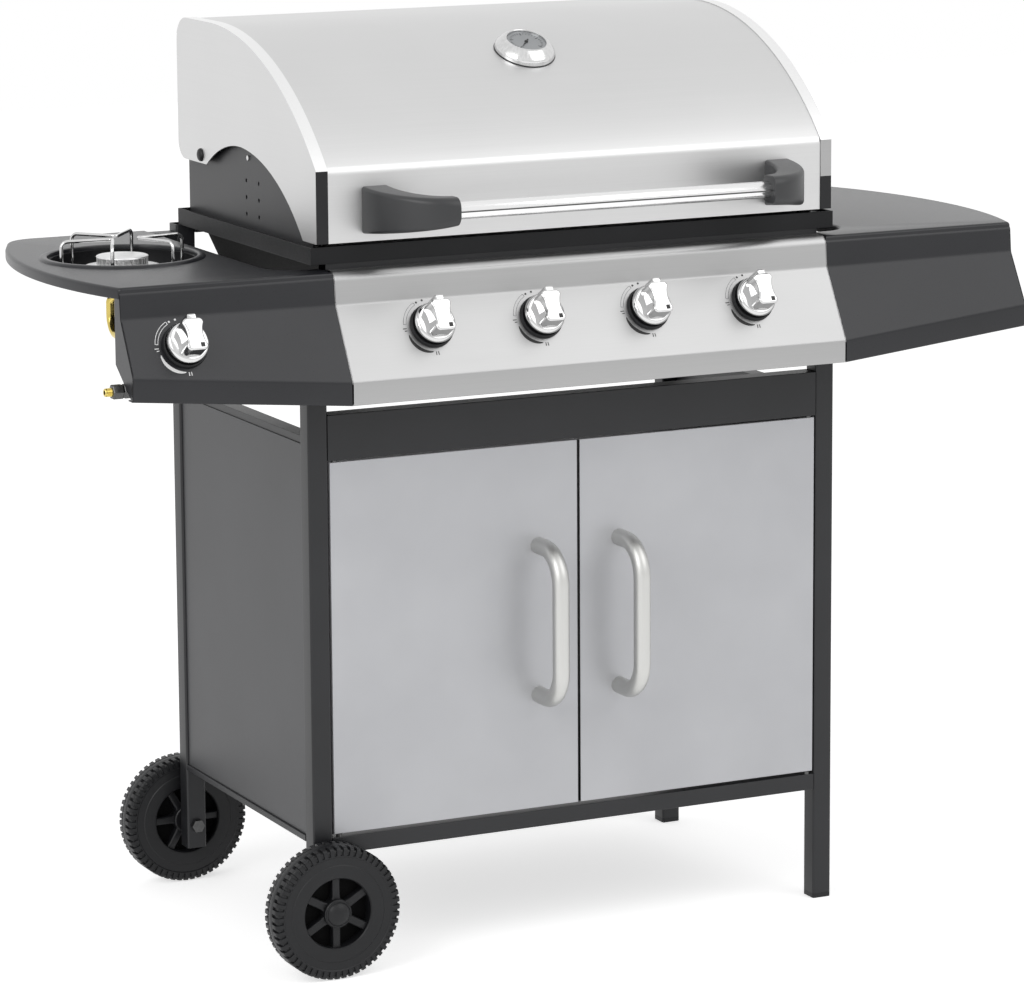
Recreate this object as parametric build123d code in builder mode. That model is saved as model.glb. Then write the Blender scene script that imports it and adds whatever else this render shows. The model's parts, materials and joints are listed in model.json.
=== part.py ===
"""Gas barbecue grill on a cart: four burners, a side burner, two doors, two wheels and a hinged lid."""
from build123d import *
import os
from math import atan2, cos, hypot, radians, sin, sqrt

os.makedirs("parts", exist_ok=True)

# Cart frame of square tube, legs at the corners
CART_W = 700.0
CART_D = 424.0
LEG = 25.0
LEG_WALL = 1.5
LEG_CORNER_R = 3.0
LEFT_LEG_Z = 51.0
TUBE_WALL = 1.5
LOWER_RAIL_Z = 140.0
LOWER_RAIL_H = 20.0
VALANCE_H = 54.0
SIDE_PANEL_H = 469.0
SIDE_PANEL_T = 1.5
SIDE_PANEL_INSET = 3.0
SIDE_RAIL_RISE = 9.0
SIDE_RAIL_H = 25.0
BACK_RAIL_Z = 752.0
BACK_RAIL_H = 25.0
BACK_FIREBOX_RAIL_H = 11.0
SHELF_T = 1.5
SHELF_FRONT_GAP = 20.0
SHELF_BACK_GAP = 5.0
FOOT_H = 6.0
FOOT_PLUG_H = 18.0
SEAT_CLEARANCE = 0.1

# Wheels, each on its own bolt through a left leg
WHEEL_R = 80.0
WHEEL_W = 36.0
WHEEL_GAP = 6.0
WHEEL_BAND = 38.0
WHEEL_WEB_T = 8.0
HUB_R = 17.0
SPOKES = 6
SPOKE_W = 10.0
SPOKE_TUCK = 3.0
TREAD_NOTCHES = 24
TREAD_NOTCH_W = 8.0
TREAD_NOTCH_DEPTH = 3.0
TREAD_RIB_W = 10.0
TREAD_CHAMFER = 2.0
WHEEL_BOLT_R = 5.0
WHEEL_BOLT_HEAD_R = 8.5
WHEEL_BOLT_HEAD_H = 6.0
HUB_CAP_R = 16.0
HUB_CAP_H = 8.0
RUNNING_CLEARANCE = 0.05
PART_GAP = 0.3

# Doors and their pulls
DOOR_H = 445.0
DOOR_T = 15.0
DOOR_SHEET = 1.2
DOOR_EDGE_R = 2.0
DOOR_SIDE_GAP = 2.0
DOOR_MIDDLE_GAP = 3.5
DOOR_BOTTOM_GAP = 4.0
DOOR_TOP_GAP = 2.0
DOOR_PIN_R = 2.0
DOOR_PIN_INSET = 7.0
DOOR_PIN_BACKSET = 3.5
DOOR_PIN_LENGTH = 14.0
PULL_R = 9.0
PULL_CENTRES = 182.0
PULL_STANDOFF = 60.0
PULL_BEND_R = 36.0
PULL_Z = 394.5
PULL_X = 54.0

# Tables, fascias and the control panel
TABLE_Z = 835.0
TABLE_T = 2.0
TABLE_BAND_H = 13.0
TABLE_BAND_T = 1.5
TABLE_INNER_X = 382.0
TABLE_FRONT_X = 587.0
TABLE_BULGE_X = 618.0
TABLE_BULGE_Y = -30.0
TABLE_BACK_X = 560.0
TABLE_BACK_Y = 210.0
TABLE_STRIP_D = 39.0
TABLE_CORNER_R = 45.0
TABLE_NOTCH_R = 38.0
TABLE_BRACKET_REACH = 130.0
TABLE_BRACKET_W = 20.0
TABLE_BRACKET_H = 22.0
SHEET = 1.5
PANEL_OUT_TOP = 22.0
PANEL_OUT_CREASE = 26.0
PANEL_CREASE_DROP = 38.0
PANEL_OUT_LOW = 73.0
PANEL_LOW_DROP = 121.0
PANEL_H = 148.0
PANEL_EDGE_R = 7.0
PANEL_LIP = 14.0
FASCIA_CREASE_DROP = 36.0
FASCIA_LOW_DROP = 98.0
FASCIA_H = 125.0
FASCIA_TUCK = 2.0
FASCIA_FLANGE = 16.0
FASCIA_FLANGE_RISE = 36.0

# Knobs, valves and the gas pipe
KNOB_PITCH = 141.0
SIDE_KNOB_X = -518.0
KNOB_DOWN_SLOPE = 34.5
BEZEL_R = 28.0
BEZEL_T = 5.0
BEZEL_BORE_R = 6.0
KNOB_TRAVEL = 3.0
KNOB_SKIRT_R = 23.0
KNOB_SKIRT_H = 7.0
KNOB_SKIRT_TAPER = 18.0
KNOB_GRIP_W = 26.0
KNOB_GRIP_L = 43.0
KNOB_GRIP_H = 27.0
KNOB_CORNER_R = 6.0
KNOB_EDGE = 1.5
KNOB_TAB_W = 11.0
KNOB_TAB_L = 6.0
KNOB_TAB_STEP = 4.0
KNOB_BORE_DEPTH = 16.0
STEM_R = 4.0
STEM_INSIDE = 26.0
VALVE_R = 11.0
VALVE_DEPTH = 40.0
VALVE_NIPPLE_R = 6.0
MANIFOLD_DEPTH = 38.0
MANIFOLD_DOWN_SLOPE = 34.0
MANIFOLD_R = 8.0
MANIFOLD_BORE_R = 6.0
MANIFOLD_RIGHT_X = 235.0
INLET_X = -575.0
INLET_BODY_R = 9.0
INLET_BODY_L = 27.0
INLET_TIP_R = 5.0
INLET_TIP_L = 7.0
NOZZLE_R = 4.0
NOZZLE_L = 22.0

# Firebox: tapered tub with a rim, upper walls, grates and burners
RIM_W = 690.0
RIM_OUT = 4.0
RIM_D = 409.0
RIM_Z = 862.0
RIM_SKIRT_H = 20.0
RIM_LIP = 4.0
FIREBOX_T = 2.0
TUB_W = 644.0
TUB_FRONT = 22.0
TUB_D = 376.0
TUB_FLOOR_W = 550.0
TUB_FLOOR_D = 280.0
TUB_DEPTH = 136.0
DRAIN_W = 380.0
DRAIN_D = 150.0
LEDGE_W = 13.0
LEDGE_T = 2.0
GRATE_H = 12.0
GRATE_CLEARANCE = 2.0
GRATE_BAR_W = 6.0
GRATE_BARS = 14
TENT_W = 84.0
TENT_RISE = 22.0
TENT_T = 1.5
TENT_Z = 800.0
BURNER_R = 15.0
BURNER_Z = 764.0
VENTURI_R = 10.0
VENTURI_BORE_R = 7.0
WALL_T = 2.0
WALL_INSET = 15.0
WALL_FRONT_H = 12.0
WALL_CROWN_RISE = 48.0
WALL_SHOULDER_RISE = 18.0
BACK_WALL_H = 127.0
VENT_HOLE_R = 2.5
VENT_HOLE_YS = (9.0, -29.0)
VENT_HOLE_ZS = (915.0, 895.0, 875.0)
RACK_Z = 943.0
RACK_FRONT = -20.0
RACK_BACK = 105.0
RACK_ROD_R = 3.0
RACK_BARS = 15
TRAY_W = 420.0
TRAY_FRONT = -112.0
TRAY_BACK = 118.0
TRAY_DEPTH = 22.0
TRAY_T = 1.5
TRAY_FLANGE = 12.0
TRAY_DROP = 8.0

# Side burner in the left table
BURNER_X = -493.0
BURNER_Y = 0.0
HOLE_R = 88.0
RING_W = 10.0
RING_H = 3.0
RING_TAPER = 45.0
BOWL_DEPTH = 26.0
BOWL_T = 1.2
BOWL_FLOOR_R = 82.0
BOWL_INSET = 2.0
BOWL_COLLAR_H = 8.0
HEAD_R = 29.5
HEAD_H = 10.0
HEAD_NECK_R = 21.0
HEAD_PLATE_R = 46.0
HEAD_PLATE_T = 2.0
HEAD_SLOTS = 36
HEAD_SLOT_W = 2.2
HEAD_SLOT_DEPTH = 2.5
CAP_R = 31.0
CAP_H = 2.5
CAP_RISE = 3.0
CAP_TAPER = 14.0
PIPE_R = 5.0
PIPE_BEND_R = 30.0
PIPE_LOW_Z = 745.0
SUPPORT_FINGERS = 3
SUPPORT_TURN = -29.5
SUPPORT_SPLAY = 30.0
SUPPORT_WIRE_R = 2.2
SUPPORT_RISE = 25.0
SUPPORT_LEG_R = 76.0
SUPPORT_TIP_R = 17.0
SUPPORT_BEND_R = 8.0
SUPPORT_TIP_BEND_R = 4.5

# Lid, its handle, its thermometer and its hinge
LID_W = 679.0
LID_T = 1.5
LID_END_T = 1.5
LID_OUT = 8.0
LID_BOTTOM_Z = 866.0
LID_CREASE_Z = 950.0
LID_TOP_Z = 1096.0
LID_APEX_Y = 97.0
LID_BACK_Y = 201.0
LID_BACK_R = 30.0
LID_SHEET_BACK_Z = 1000.0
LID_LIP_W = 15.0
LID_LIP_T = 1.2
LID_END_FOOT = 38.0
LID_ARCH_Z = 956.0
LID_ARCH_Y = 0.0
ARCH_FRONT_Y = -103.0
ARCH_FRONT_Z = 927.0
ARCH_REAR_Y = 58.0
ARCH_REAR_Z = 949.0
LID_EAR_Z = 924.0
LID_EAR_Y = 111.0
LID_EAR_R = 22.0
HINGE_Y = 128.0
HINGE_Z = 934.0
HINGE_R = 4.0
HINGE_HEAD_R = 8.0
HINGE_HEAD_H = 4.0
HANDLE_Z = 907.0
HANDLE_STANDOFF = 88.0
HANDLE_R = 10.0
HANDLE_SHOW = 205.0
HANDLE_TUCK = 18.0
SLEEVE_R = 16.0
SLEEVE_L = 22.0
FOOT_W = 58.0
FOOT_TALL = 57.0
FOOT_EDGE_X = 297.0
FOOT_LIFT = -1.5
FOOT_CORNER_R = 8.0
ARM_TIP_CORNER_R = 15.5
ARM_STEPS = 4
DIAL_Y = -72.0
DIAL_BASE_R = 37.0
DIAL_TOP_R = 28.0
DIAL_GLASS_R = 24.0
DIAL_H = 20.0
DIAL_GLASS_T = 3.0
PROBE_R = 3.5
PROBE_L = 48.0

# Places that follow from the driving dimensions
FRONT_REACH = CART_D / 2 + LID_OUT + HANDLE_STANDOFF + SLEEVE_R
BACK_REACH = CART_D / 2 + WHEEL_GAP + WHEEL_W + HUB_CAP_H
MID_Y = (FRONT_REACH - BACK_REACH) / 2
FRONT = MID_Y - CART_D / 2
BACK = MID_Y + CART_D / 2
LEG_X = CART_W / 2 - LEG / 2
LEG_IN = CART_W / 2 - LEG
LOWER_TOP = LOWER_RAIL_Z + LOWER_RAIL_H
DOOR_Z = LOWER_TOP + DOOR_BOTTOM_GAP
DOOR_TOP = DOOR_Z + DOOR_H
VALANCE_Z = DOOR_TOP + DOOR_TOP_GAP
FASCIA_TOP = TABLE_Z - TABLE_T
TUB_TOP = RIM_Z - RIM_LIP
TUB_FLOOR_Z = TUB_TOP - TUB_DEPTH
RIM_FRONT = FRONT - RIM_OUT
RIM_BACK = RIM_FRONT + RIM_D
RIM_MID = RIM_FRONT + RIM_D / 2
SKIRT_Z = RIM_Z - RIM_SKIRT_H
TUB_FRONT_Y = FRONT + TUB_FRONT
TUB_MID_Y = TUB_FRONT_Y + TUB_D / 2
WALL_X = RIM_W / 2 - WALL_INSET
LID_FRONT_Y = FRONT - LID_OUT
SIDES = (-1, 1)


def save(builder, name):
    """Label a finished piece and write it as its own file."""
    builder.part.label = name
    export_step(builder.part, f"parts/{name}.step")


def block(x0, x1, y0, y1, z0, z1, mode=Mode.ADD):
    """A straight block between two corners, in the part being built."""
    with Locations(((x0 + x1) / 2, (y0 + y1) / 2, (z0 + z1) / 2)):
        Box(abs(x1 - x0), abs(y1 - y0), abs(z1 - z0), mode=mode)


def rod(start, end, radius, mode=Mode.ADD):
    """A round rod between two points, in the part being built."""
    axis = Vector(*end) - Vector(*start)
    with Locations(Plane(origin=start, z_dir=axis).location):
        Cylinder(radius, axis.length, align=(Align.CENTER, Align.CENTER, Align.MIN), mode=mode)


def tube_x(x0, x1, y0, y1, z0, z1):
    """A rectangular tube along X, open at both ends."""
    block(x0, x1, y0, y1, z0, z1)
    block(x0, x1, y0 + TUBE_WALL, y1 - TUBE_WALL, z0 + TUBE_WALL, z1 - TUBE_WALL, Mode.SUBTRACT)


def tube_y(x0, x1, y0, y1, z0, z1):
    """A rectangular tube along Y, open at both ends."""
    block(x0, x1, y0, y1, z0, z1)
    block(x0 + TUBE_WALL, x1 - TUBE_WALL, y0, y1, z0 + TUBE_WALL, z1 - TUBE_WALL, Mode.SUBTRACT)


# Legs: the left pair stops short over the wheels, the right pair stands on foot plugs
LEG_FRONT_Y = FRONT + LEG / 2
LEG_BACK_Y = BACK - LEG / 2
with BuildPart() as legs:
    for leg_x, leg_y, low, high in (
        (-LEG_X, LEG_FRONT_Y, LEFT_LEG_Z, FASCIA_TOP),
        (-LEG_X, LEG_BACK_Y, LEFT_LEG_Z, SKIRT_Z),
        (LEG_X, LEG_FRONT_Y, FOOT_H, FASCIA_TOP),
        (LEG_X, LEG_BACK_Y, FOOT_H, SKIRT_Z),
    ):
        with BuildSketch(Plane.XY.offset(low)):
            with Locations((leg_x, leg_y)):
                RectangleRounded(LEG, LEG, LEG_CORNER_R)
                Rectangle(LEG - 2 * LEG_WALL, LEG - 2 * LEG_WALL, mode=Mode.SUBTRACT)
        extrude(amount=high - low)
    for leg_y in (LEG_FRONT_Y, LEG_BACK_Y):
        rod(
            (-LEG_X, leg_y - LEG, WHEEL_R),
            (-LEG_X, leg_y + LEG, WHEEL_R),
            WHEEL_BOLT_R + SEAT_CLEARANCE,
            Mode.SUBTRACT,
        )
save(legs, "legs")

with BuildPart() as foot_caps:
    for leg_y in (LEG_FRONT_Y, LEG_BACK_Y):
        with BuildSketch():
            with Locations((LEG_X, leg_y)):
                RectangleRounded(LEG, LEG, LEG_CORNER_R)
        extrude(amount=FOOT_H)
        plug = LEG - 2 * LEG_WALL - 2 * SEAT_CLEARANCE
        with BuildSketch(Plane.XY.offset(FOOT_H)):
            with Locations((LEG_X, leg_y)):
                Rectangle(plug, plug)
        extrude(amount=FOOT_PLUG_H)
save(foot_caps, "foot_caps")

# Rails of the cart
with BuildPart() as front_lower_rail:
    tube_x(-LEG_IN, LEG_IN, FRONT, FRONT + LEG, LOWER_RAIL_Z, LOWER_TOP)
save(front_lower_rail, "front_lower_rail")

with BuildPart() as front_valance:
    block(-LEG_IN, LEG_IN, FRONT, FRONT + LEG, VALANCE_Z, VALANCE_Z + VALANCE_H)
    block(
        -LEG_IN,
        LEG_IN,
        FRONT + SHEET,
        FRONT + LEG,
        VALANCE_Z + SHEET,
        VALANCE_Z + VALANCE_H - SHEET,
        Mode.SUBTRACT,
    )
save(front_valance, "front_valance")

with BuildPart() as back_rails:
    tube_x(-LEG_IN, LEG_IN, BACK - LEG, BACK, LOWER_RAIL_Z, LOWER_TOP)
    tube_x(-LEG_IN, LEG_IN, BACK - LEG, BACK, BACK_RAIL_Z, BACK_RAIL_Z + BACK_RAIL_H)
save(back_rails, "back_rails")

SIDE_PANEL_X = CART_W / 2 - SIDE_PANEL_INSET
SIDE_RAIL_X = SIDE_PANEL_X - SIDE_PANEL_T
SIDE_PANEL_TOP = LOWER_TOP + SIDE_PANEL_H
SIDE_RAIL_TOP = SIDE_PANEL_TOP + SIDE_RAIL_RISE
with BuildPart() as side_rails:
    for side in SIDES:
        outer, inner = sorted((side * CART_W / 2, side * LEG_IN))
        tube_y(outer, inner, FRONT + LEG, BACK - LEG, LOWER_RAIL_Z, LOWER_TOP)
        outer, inner = sorted((side * SIDE_RAIL_X, side * LEG_IN))
        tube_y(outer, inner, FRONT + LEG, BACK - LEG, SIDE_RAIL_TOP - SIDE_RAIL_H, SIDE_RAIL_TOP)
save(side_rails, "side_rails")

with BuildPart() as side_panels:
    for side in SIDES:
        block(
            side * SIDE_RAIL_X,
            side * SIDE_PANEL_X,
            FRONT + LEG,
            BACK - LEG,
            LOWER_TOP,
            SIDE_PANEL_TOP,
        )
save(side_panels, "side_panels")

FIREBOX_RAIL_TOP = TUB_TOP - FIREBOX_T
with BuildPart() as firebox_rails:
    tube_x(-LEG_IN, LEG_IN, FRONT, FRONT + TUB_FRONT - SHEET, FASCIA_TOP - SHEET, FIREBOX_RAIL_TOP)
    tube_x(-LEG_IN, LEG_IN, BACK - LEG, BACK, SKIRT_Z - BACK_FIREBOX_RAIL_H, SKIRT_Z)
save(firebox_rails, "firebox_rails")

with BuildPart() as bottom_shelf:
    block(
        -SIDE_RAIL_X,
        SIDE_RAIL_X,
        FRONT + SHELF_FRONT_GAP,
        BACK - SHELF_BACK_GAP,
        LOWER_TOP,
        LOWER_TOP + SHELF_T,
    )
    for side in SIDES:
        for leg_y in (LEG_FRONT_Y, LEG_BACK_Y):
            notch = LEG / 2 + SEAT_CLEARANCE
            block(
                side * LEG_X - notch,
                side * LEG_X + notch,
                leg_y - notch,
                leg_y + notch,
                LOWER_TOP,
                LOWER_TOP + SHELF_T,
                Mode.SUBTRACT,
            )
        panel_cut = SIDE_RAIL_X - SEAT_CLEARANCE
        block(
            side * panel_cut,
            side * CART_W / 2,
            FRONT,
            BACK,
            LOWER_TOP,
            LOWER_TOP + SHELF_T,
            Mode.SUBTRACT,
        )
save(bottom_shelf, "bottom_shelf")

# Wheels: moulded spoked wheels with notched treads, one before the front leg and one behind the back leg
WHEEL_X = -LEG_X


def wheel(name, face_y, away):
    """One wheel whose inner face is at face_y and whose outer face points away."""
    plane = Plane(origin=(WHEEL_X, face_y, WHEEL_R), x_dir=(1, 0, 0), z_dir=(0, away, 0))
    band_in = WHEEL_R - WHEEL_BAND
    shoulder = (WHEEL_W - TREAD_RIB_W) / 2
    with BuildPart() as wheel_part:
        with BuildSketch(plane):
            Circle(WHEEL_R)
            Circle(band_in, mode=Mode.SUBTRACT)
        extrude(amount=WHEEL_W)
        rim_edges = wheel_part.edges().filter_by(GeomType.CIRCLE).sort_by(SortBy.RADIUS)[-2:]
        chamfer(rim_edges, TREAD_CHAMFER)
        with BuildSketch(plane):
            Circle(HUB_R)
        extrude(amount=WHEEL_W)
        with BuildSketch(plane.offset((WHEEL_W - WHEEL_WEB_T) / 2)):
            with PolarLocations(band_in / 2, SPOKES):
                Rectangle(band_in + 2 * SPOKE_TUCK, SPOKE_W)
        extrude(amount=WHEEL_WEB_T)
        for row, turn in ((0.0, 0.0), (WHEEL_W - shoulder, 180.0 / TREAD_NOTCHES)):
            with BuildSketch(plane.offset(row)):
                with PolarLocations(WHEEL_R, TREAD_NOTCHES, start_angle=turn):
                    Rectangle(2 * TREAD_NOTCH_DEPTH, TREAD_NOTCH_W)
            extrude(amount=shoulder, mode=Mode.SUBTRACT)
        with BuildSketch(plane):
            Circle(WHEEL_BOLT_R + RUNNING_CLEARANCE)
        extrude(amount=WHEEL_W, mode=Mode.SUBTRACT)
        with BuildSketch(plane.offset(WHEEL_W)):
            Circle(WHEEL_BOLT_HEAD_R + PART_GAP)
        extrude(amount=-WHEEL_BOLT_HEAD_H - 2 * PART_GAP, mode=Mode.SUBTRACT)
    save(wheel_part, name)


def hub_cap(name, face_y, away):
    """A domed cap on the outer end of a wheel hub."""
    sag = (HUB_CAP_R**2 + HUB_CAP_H**2) / (2 * HUB_CAP_H)
    plane = Plane(origin=(WHEEL_X, face_y, WHEEL_R), x_dir=(1, 0, 0), z_dir=(0, away, 0))
    with BuildPart() as cap:
        with BuildSketch(plane):
            Circle(HUB_CAP_R)
        extrude(amount=HUB_CAP_H)
        with Locations(plane.offset(HUB_CAP_H - sag).location):
            Sphere(sag, mode=Mode.INTERSECT)
    save(cap, name)


wheel("front_wheel", FRONT - WHEEL_GAP, -1)
wheel("back_wheel", BACK + WHEEL_GAP, 1)
hub_cap("front_hub_cap", FRONT - WHEEL_GAP - WHEEL_W, -1)
hub_cap("back_hub_cap", BACK + WHEEL_GAP + WHEEL_W, 1)

with BuildPart() as wheel_bolts:
    for leg_face, away in ((FRONT, -1), (BACK, 1)):
        out = WHEEL_GAP + WHEEL_W - PART_GAP
        nut_y = leg_face - away * LEG
        rod(
            (WHEEL_X, nut_y - away * WHEEL_BOLT_HEAD_H, WHEEL_R),
            (WHEEL_X, leg_face + away * out, WHEEL_R),
            WHEEL_BOLT_R,
        )
        rod(
            (WHEEL_X, leg_face + away * (out - WHEEL_BOLT_HEAD_H), WHEEL_R),
            (WHEEL_X, leg_face + away * out, WHEEL_R),
            WHEEL_BOLT_HEAD_R,
        )
        rod(
            (WHEEL_X, leg_face, WHEEL_R),
            (WHEEL_X, leg_face + away * (WHEEL_GAP - PART_GAP), WHEEL_R),
            WHEEL_BOLT_HEAD_R,
        )
        with BuildSketch(Plane(origin=(WHEEL_X, nut_y, WHEEL_R), x_dir=(1, 0, 0), z_dir=(0, -away, 0))):
            RegularPolygon(WHEEL_BOLT_HEAD_R, 6)
        extrude(amount=WHEEL_BOLT_HEAD_H)
save(wheel_bolts, "wheel_bolts")

# Doors: folded sheet pans that turn on pins in the rail and the valance
PIN_Y = FRONT + DOOR_PIN_BACKSET
PIN_X = LEG_IN - DOOR_SIDE_GAP - DOOR_PIN_INSET


def door(name, side):
    """One door, an open-backed pan with pin holes in its top and bottom folds."""
    hinge_edge = side * (LEG_IN - DOOR_SIDE_GAP)
    free_edge = side * DOOR_MIDDLE_GAP / 2
    low, high = sorted((hinge_edge, free_edge))
    with BuildPart() as pan:
        block(low, high, FRONT, FRONT + DOOR_T, DOOR_Z, DOOR_TOP)
        fillet(pan.edges().group_by(Axis.Y)[0], DOOR_EDGE_R / 2)
        block(
            low + DOOR_SHEET,
            high - DOOR_SHEET,
            FRONT + DOOR_SHEET,
            FRONT + DOOR_T,
            DOOR_Z + DOOR_SHEET,
            DOOR_TOP - DOOR_SHEET,
            Mode.SUBTRACT,
        )
        rod(
            (side * PIN_X, PIN_Y, DOOR_Z - DOOR_T),
            (side * PIN_X, PIN_Y, DOOR_TOP + DOOR_T),
            DOOR_PIN_R + RUNNING_CLEARANCE,
            Mode.SUBTRACT,
        )
    save(pan, name)


def door_pull(name, side):
    """A bent round tube whose two ends stand on the door."""
    bar_y = FRONT - PULL_STANDOFF
    low, high = PULL_Z - PULL_CENTRES / 2, PULL_Z + PULL_CENTRES / 2
    with BuildPart() as pull:
        with BuildLine():
            FilletPolyline(
                (side * PULL_X, FRONT, low),
                (side * PULL_X, bar_y, low),
                (side * PULL_X, bar_y, high),
                (side * PULL_X, FRONT, high),
                radius=PULL_BEND_R,
            )
        with BuildSketch(Plane(origin=(side * PULL_X, FRONT, low), x_dir=(1, 0, 0), z_dir=(0, -1, 0))):
            Circle(PULL_R)
        sweep()
    save(pull, name)


for side, word in ((-1, "left"), (1, "right")):
    door(f"{word}_door", side)
    door_pull(f"{word}_door_pull", side)

with BuildPart() as door_hinge_pins:
    for side in SIDES:
        pin_x = side * PIN_X
        for seat_z, rim_z, way in (
            (LOWER_TOP, DOOR_Z - PART_GAP, 1),
            (VALANCE_Z, DOOR_TOP + PART_GAP, -1),
        ):
            rod((pin_x, PIN_Y, seat_z), (pin_x, PIN_Y, rim_z), DOOR_PIN_BACKSET)
            rod((pin_x, PIN_Y, seat_z), (pin_x, PIN_Y, rim_z + way * DOOR_PIN_LENGTH), DOOR_PIN_R)
save(door_hinge_pins, "door_hinge_pins")

# Control panel: a creased sheet with closed ends; the sloped face carries the knobs
PANEL_TOP_Y = FRONT - PANEL_OUT_TOP
PANEL_CREASE = (FRONT - PANEL_OUT_CREASE, TABLE_Z - PANEL_CREASE_DROP)
PANEL_LOW = (FRONT - PANEL_OUT_LOW, TABLE_Z - PANEL_LOW_DROP)
SLOPE_RUN = PANEL_CREASE[0] - PANEL_LOW[0]
SLOPE_FALL = PANEL_CREASE[1] - PANEL_LOW[1]
SLOPE_LENGTH = hypot(SLOPE_RUN, SLOPE_FALL)
SLOPE_DOWN = Vector(0, -SLOPE_RUN / SLOPE_LENGTH, -SLOPE_FALL / SLOPE_LENGTH)
SLOPE_OUT = Vector(0, -SLOPE_FALL / SLOPE_LENGTH, SLOPE_RUN / SLOPE_LENGTH)
KNOB_XS = (SIDE_KNOB_X,) + tuple((n - 1.5) * KNOB_PITCH for n in range(4))


def slope_y(z):
    """Where the sloped face lies at height z."""
    return PANEL_CREASE[0] - (PANEL_CREASE[1] - z) * SLOPE_RUN / SLOPE_FALL


def knob_plane(x):
    """The plane on the sloped face under one knob, pointing out of the panel."""
    origin = Vector(x, *PANEL_CREASE) + SLOPE_DOWN * KNOB_DOWN_SLOPE
    return Plane(origin=origin, x_dir=(1, 0, 0), z_dir=SLOPE_OUT)


MANIFOLD_AT = knob_plane(0).origin - SLOPE_OUT * MANIFOLD_DEPTH + SLOPE_DOWN * MANIFOLD_DOWN_SLOPE


def manifold_at(x):
    """The point on the gas manifold's axis at x."""
    return (x, MANIFOLD_AT.Y, MANIFOLD_AT.Z)


def pipe_hole(x):
    """A hole for the gas manifold through an end plate at x."""
    with Locations(Plane(origin=manifold_at(x), z_dir=(1, 0, 0)).location):
        Cylinder(MANIFOLD_R + PART_GAP, 4 * SHEET, mode=Mode.SUBTRACT)


def front_outline(inset, drop, crease_drop, low_drop, height, tuck):
    """The side view of the panel or a fascia, closed at the legs, set in by a sheet's thickness."""
    top = TABLE_Z - drop - inset
    crease_z = TABLE_Z - crease_drop
    low_z = TABLE_Z - low_drop
    foot_z = TABLE_Z - height + (inset if inset == 0 else -PANEL_LIP)
    back = FRONT + (0 if inset == 0 else PANEL_LIP)
    with BuildSketch() as outline:
        with BuildLine():
            Polyline(
                (back, top),
                (PANEL_TOP_Y + inset, top),
                (slope_y(crease_z) + inset, crease_z),
                (slope_y(low_z) + inset, low_z),
                (slope_y(low_z) + tuck + inset, foot_z),
                (back, foot_z),
                close=True,
            )
        make_face()
    return outline.sketch


PANEL_OUTER = front_outline(0, 0, PANEL_CREASE_DROP, PANEL_LOW_DROP, PANEL_H, 0)
PANEL_INNER = front_outline(SHEET, 0, PANEL_CREASE_DROP, PANEL_LOW_DROP, PANEL_H, 0)
FASCIA_ROOT = front_outline(0, TABLE_T, PANEL_CREASE_DROP, PANEL_LOW_DROP, PANEL_H, 0)
FASCIA_ROOT_IN = front_outline(SHEET, TABLE_T, PANEL_CREASE_DROP, PANEL_LOW_DROP, PANEL_H, 0)
FASCIA_TIP = front_outline(0, TABLE_T, FASCIA_CREASE_DROP, FASCIA_LOW_DROP, FASCIA_H, FASCIA_TUCK)
FASCIA_TIP_IN = front_outline(SHEET, TABLE_T, FASCIA_CREASE_DROP, FASCIA_LOW_DROP, FASCIA_H, FASCIA_TUCK)

with BuildPart() as control_panel:
    with BuildSketch(Plane.YZ.offset(-LEG_IN)):
        add(PANEL_OUTER)
    extrude(amount=2 * LEG_IN)
    with BuildSketch(Plane.YZ.offset(-LEG_IN + SHEET)):
        add(PANEL_INNER)
    extrude(amount=2 * LEG_IN - 2 * SHEET, mode=Mode.SUBTRACT)
    panel_foot = TABLE_Z - PANEL_H
    block(-LEG_IN, LEG_IN, PANEL_LOW[0], PANEL_LOW[0] + PANEL_LIP, panel_foot, panel_foot + SHEET)
    front_edges = control_panel.edges().filter_by(Axis.X)
    near_top = front_edges.filter_by_position(Axis.Y, PANEL_TOP_Y - SHEET, PANEL_TOP_Y + SHEET / 2)
    fillet(near_top.sort_by(Axis.Z)[-1], SHEET)
    for knob_x in KNOB_XS[1:]:
        with Locations(knob_plane(knob_x).location):
            Cylinder(BEZEL_BORE_R, PANEL_LIP, mode=Mode.SUBTRACT)
    pipe_hole(-LEG_IN)
save(control_panel, "control_panel")


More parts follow.
